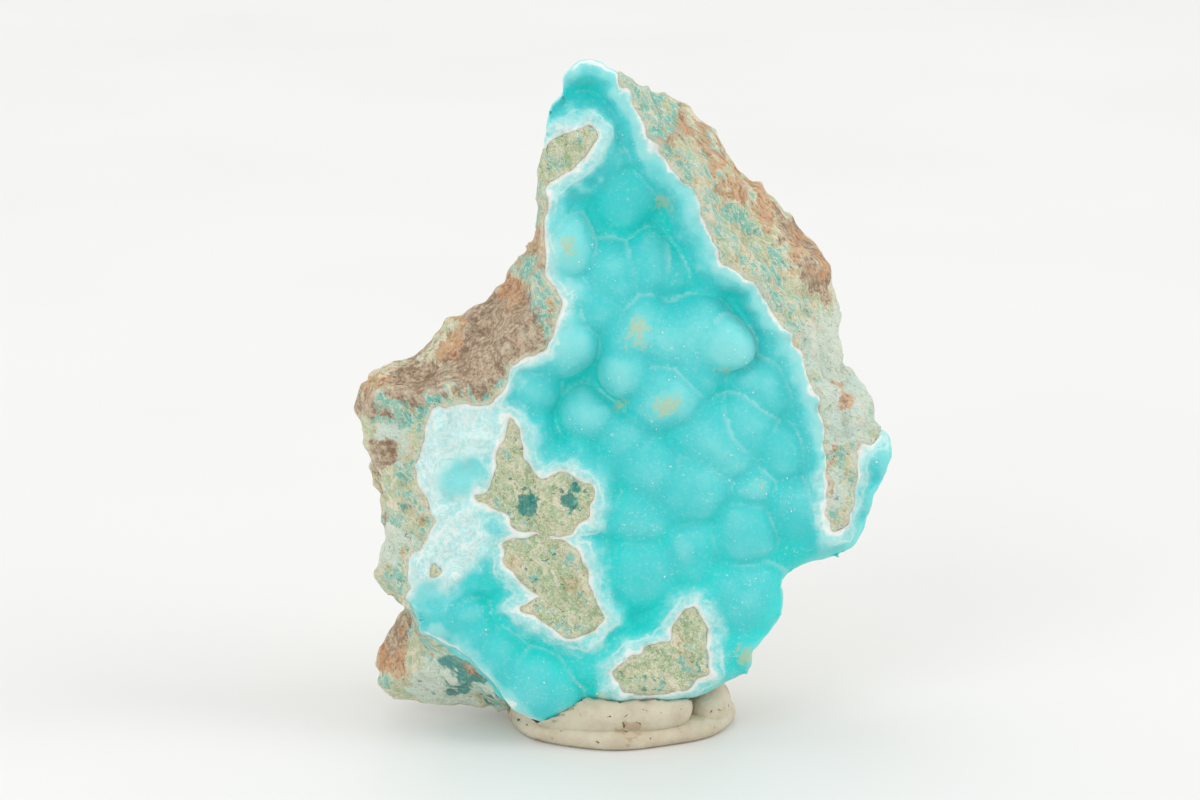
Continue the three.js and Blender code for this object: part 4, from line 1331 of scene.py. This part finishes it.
def crust_piece(sizes, material):
    """The crust, with what its material needs to know at each corner."""
    grid = Grid(STONE_LOW, (STONE_HIGH[0], CRUST_BACK, STONE_HIGH[2]), sizes.crust_facet / MM)
    stone = stone_field(grid, sizes.roughness / MM, sizes.dome_height / MM)
    depth, there = depth_map(stone, grid)
    recess = depth - blurred(depth, there, RECESS_RADIUS / grid.step)
    points, faces = skin(np.maximum(stone, crust_share(grid)), grid)
    points = eased(points, faces, share=0.5, rounds=2)
    x, y, z = points.T
    edge_x, edge_z = ragged(x, z)
    lines = (WHOLE_RIGHT_RIM, TONGUE, LEFT_RIM, FOOT_LIP)
    right, tongue, left, lip = (line_distance(line, edge_x, edge_z) for line in lines)
    stub = stub_distance(edge_x, edge_z)
    in_lip = y - floor_depth(x, z) - turned_back(x, z)
    inside = outline_distance(CRUST_OUTLINE, x, z)
    off_lip = smoothstep(*INSIDE_LIP, inside) + smoothstep(*BEFORE_LIP, in_lip)
    edge = np.minimum.reduce([right + RIGHT_RIM_WEAR, left, lip + LIP_WEAR, stub])
    edge = edge + 1 - np.minimum(off_lip, 1)
    layered = [stub, tongue + TONGUE_WEAR, left + LEFT_RIM_WEAR, np.abs(in_lip) + LIP_FADE * off_lip]
    column = np.clip(((x - grid.low[0]) / grid.step).round().astype(int), 0, recess.shape[0] - 1)
    row = np.clip(((z - grid.low[2]) / grid.step).round().astype(int), 0, recess.shape[1] - 1)
    recess = recess[column, row]
    attributes = {
        "edge": np.maximum(edge, 0),
        "layers": np.maximum(np.minimum.reduce(layered), 0),
        "broken": smoothstep(*BROKEN_FADE, outline_distance(BROKEN_FACE, edge_x, edge_z)),
        # The recess carries the painted shade of the hollows and the painted highlight where the crust stands
        # forward.
        "recess": recess,
        "dust": blots(DUST, x, z),
        "clear": blots(CLEAR_PATCHES, edge_x, edge_z),
        "out": standing_out(points, faces, CRUST_EASING),
        # Painted sheen where the crust turns away from the front.
        "flank": smoothstep(*SHEEN_FLANK_FADE, -corner_normals(points, faces)[:, 1]),
        # Where the painted highlight along the bubbles' upper rims goes.
        "rim": bubble_rims(points),
        "tips": smoothstep(*TIPS_OFF_EDGE, edge) * smoothstep(*TIPS_RAISED, recess) * (y < TIPS_DEPTH),
    }
    return mesh_object("crust_bubbles", leaned_back(points), faces, attributes, material)


def rock_piece(sizes, material):
    """The rock, sunk a little under the crust, with its stains."""
    grid = Grid(STONE_LOW, STONE_HIGH, sizes.rock_facet / MM)
    stone = stone_field(grid, sizes.roughness / MM, sizes.dome_height / MM)
    share = crust_share(grid)
    sunk = ROCK_SUNK * smoothstep(*UNDER_CRUST, share)
    points, faces = skin(np.maximum(stone + sunk, -(share + ROCK_LAP)), grid)
    points = eased(points, faces, share=0.4, rounds=1)
    x, y, z = points.T
    edge_x, edge_z = ragged(x, z)
    outside = np.maximum(outline_distance(CRUST_OUTLINE, edge_x, edge_z), -stub_distance(edge_x, edge_z))
    outside = np.maximum(outside, y - COPPER_DEPTH)
    island = smoothstep(ISLAND_FADE, 0, stub_distance(edge_x, edge_z))
    wander = STAIN_WANDER - ISLAND_CALM * island + BACK_WANDER * np.maximum(y - BACK_START, 0)

    def strayed(start, seed):
        fine = STAIN_FINE * noise(seed + 1, x, y, z, STAIN_FINE_CELL)
        return start + wander * (noise(seed, x, y, z, STAIN_CELL) + fine)

    stain_x, stain_z = strayed(x, 16), strayed(z, 18)
    attributes = {name: blots(spots, stain_x, stain_z) for name, spots in STAINS.items()}
    attributes.update({"border": np.maximum(outside, 0), "island": island})
    attributes["out"] = standing_out(points, faces, ROCK_EASING)
    attributes["teal"] *= smoothstep(COPPER_DEPTH + COPPER_FADE, COPPER_DEPTH, y)
    return mesh_object("rock_break", leaned_back(points), faces, attributes, material)


def rope_points(turn, radius, inset):
    """Points of a turn of putty, in millimetres."""
    across = PUTTY_HALF_WIDTH - radius - inset
    deep = PUTTY_HALF_DEPTH - radius - inset
    angles = [math.radians(degrees) for degrees, _ in turn]
    return [(across * math.cos(a), deep * math.sin(a), height) for a, (_, height) in zip(angles, turn)]


def foot_mesh():
    """The lowest turn of the putty, closed across, as rings from its underside to its top."""
    points = []
    for inset, height in FOOT_PROFILE:
        for n in range(FOOT_SIDES):
            angle = 2 * math.pi * n / FOOT_SIDES
            wobble = sum(size * math.sin(count * angle + start) for size, count, start in FOOT_WAVES)
            across = PUTTY_HALF_WIDTH - inset - FOOT_INSET + wobble * (height > 0)
            deep = PUTTY_HALF_DEPTH - inset - FOOT_INSET + wobble * (height > 0)
            points.append((across * math.cos(angle) * MM, deep * math.sin(angle) * MM, height * MM))
    faces = []
    for ring in range(len(FOOT_PROFILE) - 1):
        for n in range(FOOT_SIDES):
            a, b = ring * FOOT_SIDES + n, ring * FOOT_SIDES + (n + 1) % FOOT_SIDES
            faces.append((a, b, b + FOOT_SIDES, a + FOOT_SIDES))
    last = (len(FOOT_PROFILE) - 1) * FOOT_SIDES
    faces.append(tuple(reversed(range(FOOT_SIDES))))
    faces.append(tuple(range(last, last + FOOT_SIDES)))
    mesh = bpy.data.meshes.new("putty_foot")
    mesh.from_pydata(points, [], faces)
    return mesh


def clear_of_stone(points):
    """Points of the putty, pressed out of the stone and flat on the table."""
    low = (-PUTTY_REACH, STONE_LOW[1], STONE_LOW[2])
    high = (PUTTY_REACH, STONE_HIGH[1], PUTTY_TOP)
    grid = Grid(low, high, PRESS_FACET)
    stone = stone_field(grid, PUTTY_ROUGHNESS, PUTTY_DOME_HEIGHT)
    slopes = np.stack(np.gradient(stone, grid.step), -1)
    for _ in range(PRESS_ROUNDS):
        local = stood_up(points)
        cell = np.clip(((local - grid.low) / grid.step).round().astype(int), 0, np.array(stone.shape) - 1)
        index = tuple(cell.T)
        slope = slopes[index]
        slope /= np.maximum(np.linalg.norm(slope, axis=1, keepdims=True), 1e-6)
        into = np.clip(STONE_CLEARANCE - stone[index], 0, PRESS_LIMIT)
        points = leaned_back(local + slope * into[:, None])
        points[:, 2] = np.maximum(points[:, 2], 0)
    return points


def putty_piece(sizes, material):
    """The putty: its foot and two ropes in one mesh, pressed clear of the stone."""
    tree = rope_tree()
    work = bmesh.new()
    work.from_mesh(foot_mesh())
    for seed, turn in enumerate((FRONT_ROPE, SIDE_ROPE)):
        line = bpy.data.meshes.new("putty_line")
        points = rope_points(turn, sizes.rope_radius / MM, ROPE_INSET)
        stretches = [(i, i + 1) for i in range(len(points) - 1)]
        line.from_pydata([tuple(c * MM for c in point) for point in points], stretches, [])
        guide = placed("putty_line", line)
        settings = {
            "Radius": sizes.rope_radius,
            "Unevenness": sizes.rope_unevenness,
            "Seed": float(seed),
            "Material": material,
        }
        work.from_mesh(grown_mesh(guide, tree, settings))
        bpy.data.objects.remove(guide)
    mesh = bpy.data.meshes.new("putty_turns")
    work.to_mesh(mesh)
    work.free()
    points = clear_of_stone(read_points(mesh))
    mesh.vertices.foreach_set("co", (points * MM).astype(np.float32).ravel())
    mesh.update()
    mesh.shade_smooth()
    mesh.materials.append(material)
    return placed("putty_turns", mesh)


def tips_piece(sizes, crust, material):
    """Crystal tips over the raised parts of the crust."""
    settings = {
        "Per square metre": sizes.tips_per_area,
        "Smallest": sizes.smallest_tip,
        "Largest": sizes.largest_tip,
        "Seed": TIPS_SEED,
        "Material": material,
    }
    return placed("crystal_tips", grown_mesh(crust, tips_tree(), settings))


# Stage


def aimed(item, place, target):
    """Moves a lamp or camera to a place and turns it to a target."""
    item.location = place
    item.rotation_euler = (target - place).to_track_quat("-Z", "Y").to_euler()


def soft_light(name, place, target, size, power):
    """A large soft lamp at a place in metres, turned to a target."""
    lamp = bpy.data.lights.new(name, "AREA")
    lamp.shape = "DISK"
    lamp.size = size
    lamp.energy = power
    aimed(placed(name, lamp), Vector(place), Vector(target))


def stage_floor(looks):
    """A wide tabletop."""
    half = FLOOR_HALF_WIDTH
    corners = [(-half, -half, 0), (half, -half, 0), (half, half, 0), (-half, half, 0)]
    mesh = bpy.data.meshes.new("tabletop")
    mesh.from_pydata(corners, [], [(0, 1, 2, 3)])
    mesh.materials.append(floor_material(looks))
    return placed("tabletop", mesh)


def stage_sky(strength):
    """Even white light from all round."""
    world = bpy.data.worlds.new("studio")
    world.use_nodes = True
    set_inputs(world.node_tree.nodes["Background"].inputs, {"Color": (1, 1, 1, 1), "Strength": strength})
    bpy.context.scene.world = world


def stage_camera(settings):
    """A camera in front of the stone, looking down at it a little."""
    camera = bpy.data.cameras.new("camera")
    camera.lens = settings.lens
    camera.clip_start = NEAREST_SEEN
    item = placed("camera", camera)
    target = Vector(settings.target)
    up = settings.elevation
    aimed(item, target + settings.distance * Vector((0, -math.cos(up), math.sin(up))), target)
    bpy.context.scene.camera = item


# Settings


def srgb(red, green, blue):
    """A colour as Blender keeps it, from red, green and blue as seen on a screen, 0 to 255."""
    linear = []
    for value in (red, green, blue):
        share = value / 255
        linear.append(share / 12.92 if share <= 0.04045 else ((share + 0.055) / 1.055) ** 2.4)
    return (*linear, 1)


def tint(name, description, *seen):
    """A colour setting, from red, green and blue as seen on a screen."""
    return bpy.props.FloatVectorProperty(
        name=name, description=description, subtype="COLOR", size=4, min=0, max=1, default=srgb(*seen)
    )


def number(name, description, default, **unit):
    """A setting that is never below zero."""
    return bpy.props.FloatProperty(name=name, description=description, default=default, min=0, **unit)


def length(name, description, millimetres):
    """A size setting."""
    return number(name, description, millimetres * MM, unit="LENGTH", precision=5)


class StoneShape(bpy.types.PropertyGroup):
    crust_facet: length("Crust facet", "Size of the crust's faces", 0.28)
    rock_facet: length("Rock facet", "Size of the rock's faces", 0.36)
    roughness: length("Roughness", "Height of the rock's rough break", 0.4)
    dome_height: length("Small domes", "Height of the small domes on the crust", 0.22)


class CrustLook(bpy.types.PropertyGroup):
    # Deep paints the shade in the crevices and raised the highlight on the bubbles' tops; pale also paints
    # the highlights on crests and rims and the sheen on the sides.
    deep: tint("Deep", "Turquoise of the crevices", 22, 216, 212)
    middle: tint("Middle", "Turquoise of most of the crust", 68, 207, 209)
    raised: tint("Raised", "Turquoise of the bubbles' tops", 120, 220, 220)
    pale: tint("Pale", "Pale turquoise near broken edges", 178, 228, 226)
    silk: tint("Silk", "Between the fibres of the broken faces", 168, 226, 226)
    # White also paints the glints of the flecks.
    white: tint("White", "Broken edges and fibres", 236, 243, 238)
    dust: tint("Dust", "Dust on the high parts", 204, 196, 140)
    tips_per_area: number("Crystal tips", "Crystal tips on each square metre", 250000)
    smallest_tip: length("Smallest tip", "Radius of the smallest crystal tip", 0.03)
    largest_tip: length("Largest tip", "Radius of the largest crystal tip", 0.12)


class RockLook(bpy.types.PropertyGroup):
    # Cream also paints the highlight on ridges, and umber the shade in holes and pits.
    cream: tint("Cream", "Palest grains", 246, 240, 214)
    tan: tint("Tan", "Most of the rock", 228, 212, 172)
    khaki: tint("Khaki", "Most of the stubs in the crust", 198, 198, 136)
    sage: tint("Sage", "Grey green grains", 184, 211, 168)
    teal: tint("Teal", "Blue green specks", 34, 146, 138)
    mint: tint("Mint", "Pale green patches", 234, 248, 236)
    umber: tint("Umber", "Dark brown patches", 160, 136, 112)
    fawn: tint("Fawn", "Grains in the brown patches", 228, 206, 178)
    rust: tint("Rust", "Orange stains", 236, 172, 122)
    sienna: tint("Sienna", "Dark streaks in the orange stains", 178, 108, 76)
    verdigris: tint("Verdigris", "Bright grains in the teal patches", 110, 209, 197)


class PuttyLook(bpy.types.PropertyGroup):
    rope_radius: length("Rope radius", "Half the thickness of the rolled rope", 2.1)
    rope_unevenness: length("Unevenness", "Height of the finger marks", 0.5)
    cream: tint("Cream", "Clean putty", 214, 205, 183)
    shade: tint("Shade", "Darker putty", 198, 186, 161)
    smudge: tint("Smudge", "Grubby patches", 166, 132, 98)
    pit: tint("Pit", "Pits and crumbs", 112, 84, 60)


class StageLook(bpy.types.PropertyGroup):
    floor: tint("Tabletop", "Colour of the tabletop", 234, 234, 232)
    floor_shade: tint("Tabletop shade", "Soft clouds of the tabletop", 231, 231, 229)
    sky: number("Sky", "Strength of the light all round", 0.84)
    key: number("Key light", "Power of the main lamp", 4, unit="POWER")
    fill: number("Fill light", "Power of the second lamp", 1.9, unit="POWER")
    side: number("Side light", "Power of the lamp at the right", 14, unit="POWER")
    lens: number("Lens", "Focal length of the lens", 129, unit="CAMERA")
    distance: length("Distance", "From the camera to the stone", 430)
    elevation: number("Elevation", "How far the camera looks down", math.radians(15), subtype="ANGLE")
    target: bpy.props.FloatVectorProperty(
        name="Target",
        description="What the camera looks at",
        default=(-0.002, 0, 0.0339),
        subtype="XYZ",
        unit="LENGTH",
    )


# Operators


class BuildCrust(bpy.types.Operator):
    """Build the bubbly crust of hemimorphite"""

    bl_idname = "hemimorphite.crust"
    bl_label = "Hemimorphite crust"

    def execute(self, context):
        piece = crust_piece(context.scene.stone_shape, crust_material(context.scene.crust_look))
        settle(piece, "crust", "hemimorphite_crust")
        return {"FINISHED"}


class BuildRock(bpy.types.Operator):
    """Build the broken host rock behind and around the crust"""

    bl_idname = "hemimorphite.rock"
    bl_label = "Host rock"

    def execute(self, context):
        piece = rock_piece(context.scene.stone_shape, rock_material(context.scene.rock_look))
        settle(piece, "rock", "matrix_rock")
        return {"FINISHED"}


class BuildPutty(bpy.types.Operator):
    """Build the coil of display putty that holds the stone up"""

    bl_idname = "hemimorphite.putty"
    bl_label = "Putty coil"

    def execute(self, context):
        look = context.scene.putty_look
        piece = putty_piece(look, putty_material(look))
        settle(piece, "putty", "putty_coil")
        return {"FINISHED"}


class BuildTips(bpy.types.Operator):
    """Strew crystal tips over the crust"""

    bl_idname = "hemimorphite.tips"
    bl_label = "Crystal tips"

    def execute(self, context):
        crust = bpy.data.objects.get("crust_bubbles")
        if crust is None:
            raise RuntimeError("The crystal tips need the crust first")
        look = context.scene.crust_look
        settle(tips_piece(look, crust, glint_material(look)), "crust")
        return {"FINISHED"}


class BuildStage(bpy.types.Operator):
    """Set up the tabletop, the soft light and the camera"""

    bl_idname = "hemimorphite.stage"
    bl_label = "Tabletop, light and camera"

    def execute(self, context):
        look = context.scene.stage_look
        stage_floor(look)
        stage_sky(look.sky)
        for name, (place, width) in LAMPS.items():
            soft_light(name + " light", place, look.target, width, getattr(look, name))
        stage_camera(look)
        context.scene.view_settings.view_transform = "Standard"
        return {"FINISHED"}


class HemimorphitePanel(bpy.types.Panel):
    """The stone's pieces and their settings"""

    bl_idname = "VIEW3D_PT_hemimorphite"
    bl_label = "Raw hemimorphite"
    bl_space_type = "VIEW_3D"
    bl_region_type = "UI"
    bl_category = "Hemimorphite"

    def draw(self, context):
        for operator in OPERATORS:
            self.layout.operator(operator.bl_idname)
        for name, settings in SETTINGS.items():
            box = self.layout.box()
            for field in settings.__annotations__:
                box.prop(getattr(context.scene, name), field)


SETTINGS = {
    "stone_shape": StoneShape,
    "crust_look": CrustLook,
    "rock_look": RockLook,
    "putty_look": PuttyLook,
    "stage_look": StageLook,
}
OPERATORS = (BuildCrust, BuildRock, BuildPutty, BuildTips, BuildStage)


def register():
    for name, settings in SETTINGS.items():
        bpy.utils.register_class(settings)
        setattr(bpy.types.Scene, name, bpy.props.PointerProperty(type=settings))
    for kind in (*OPERATORS, HemimorphitePanel):
        bpy.utils.register_class(kind)


def unregister():
    for kind in (HemimorphitePanel, *reversed(OPERATORS)):
        bpy.utils.unregister_class(kind)
    for name, settings in reversed(SETTINGS.items()):
        delattr(bpy.types.Scene, name)
        bpy.utils.unregister_class(settings)


def main():
    register()
    bpy.ops.hemimorphite.crust()
    bpy.ops.hemimorphite.rock()
    bpy.ops.hemimorphite.putty()
    bpy.ops.hemimorphite.tips()
    bpy.ops.hemimorphite.stage()
    bpy.context.view_layer.update()


if __name__ == "__main__":
    main()
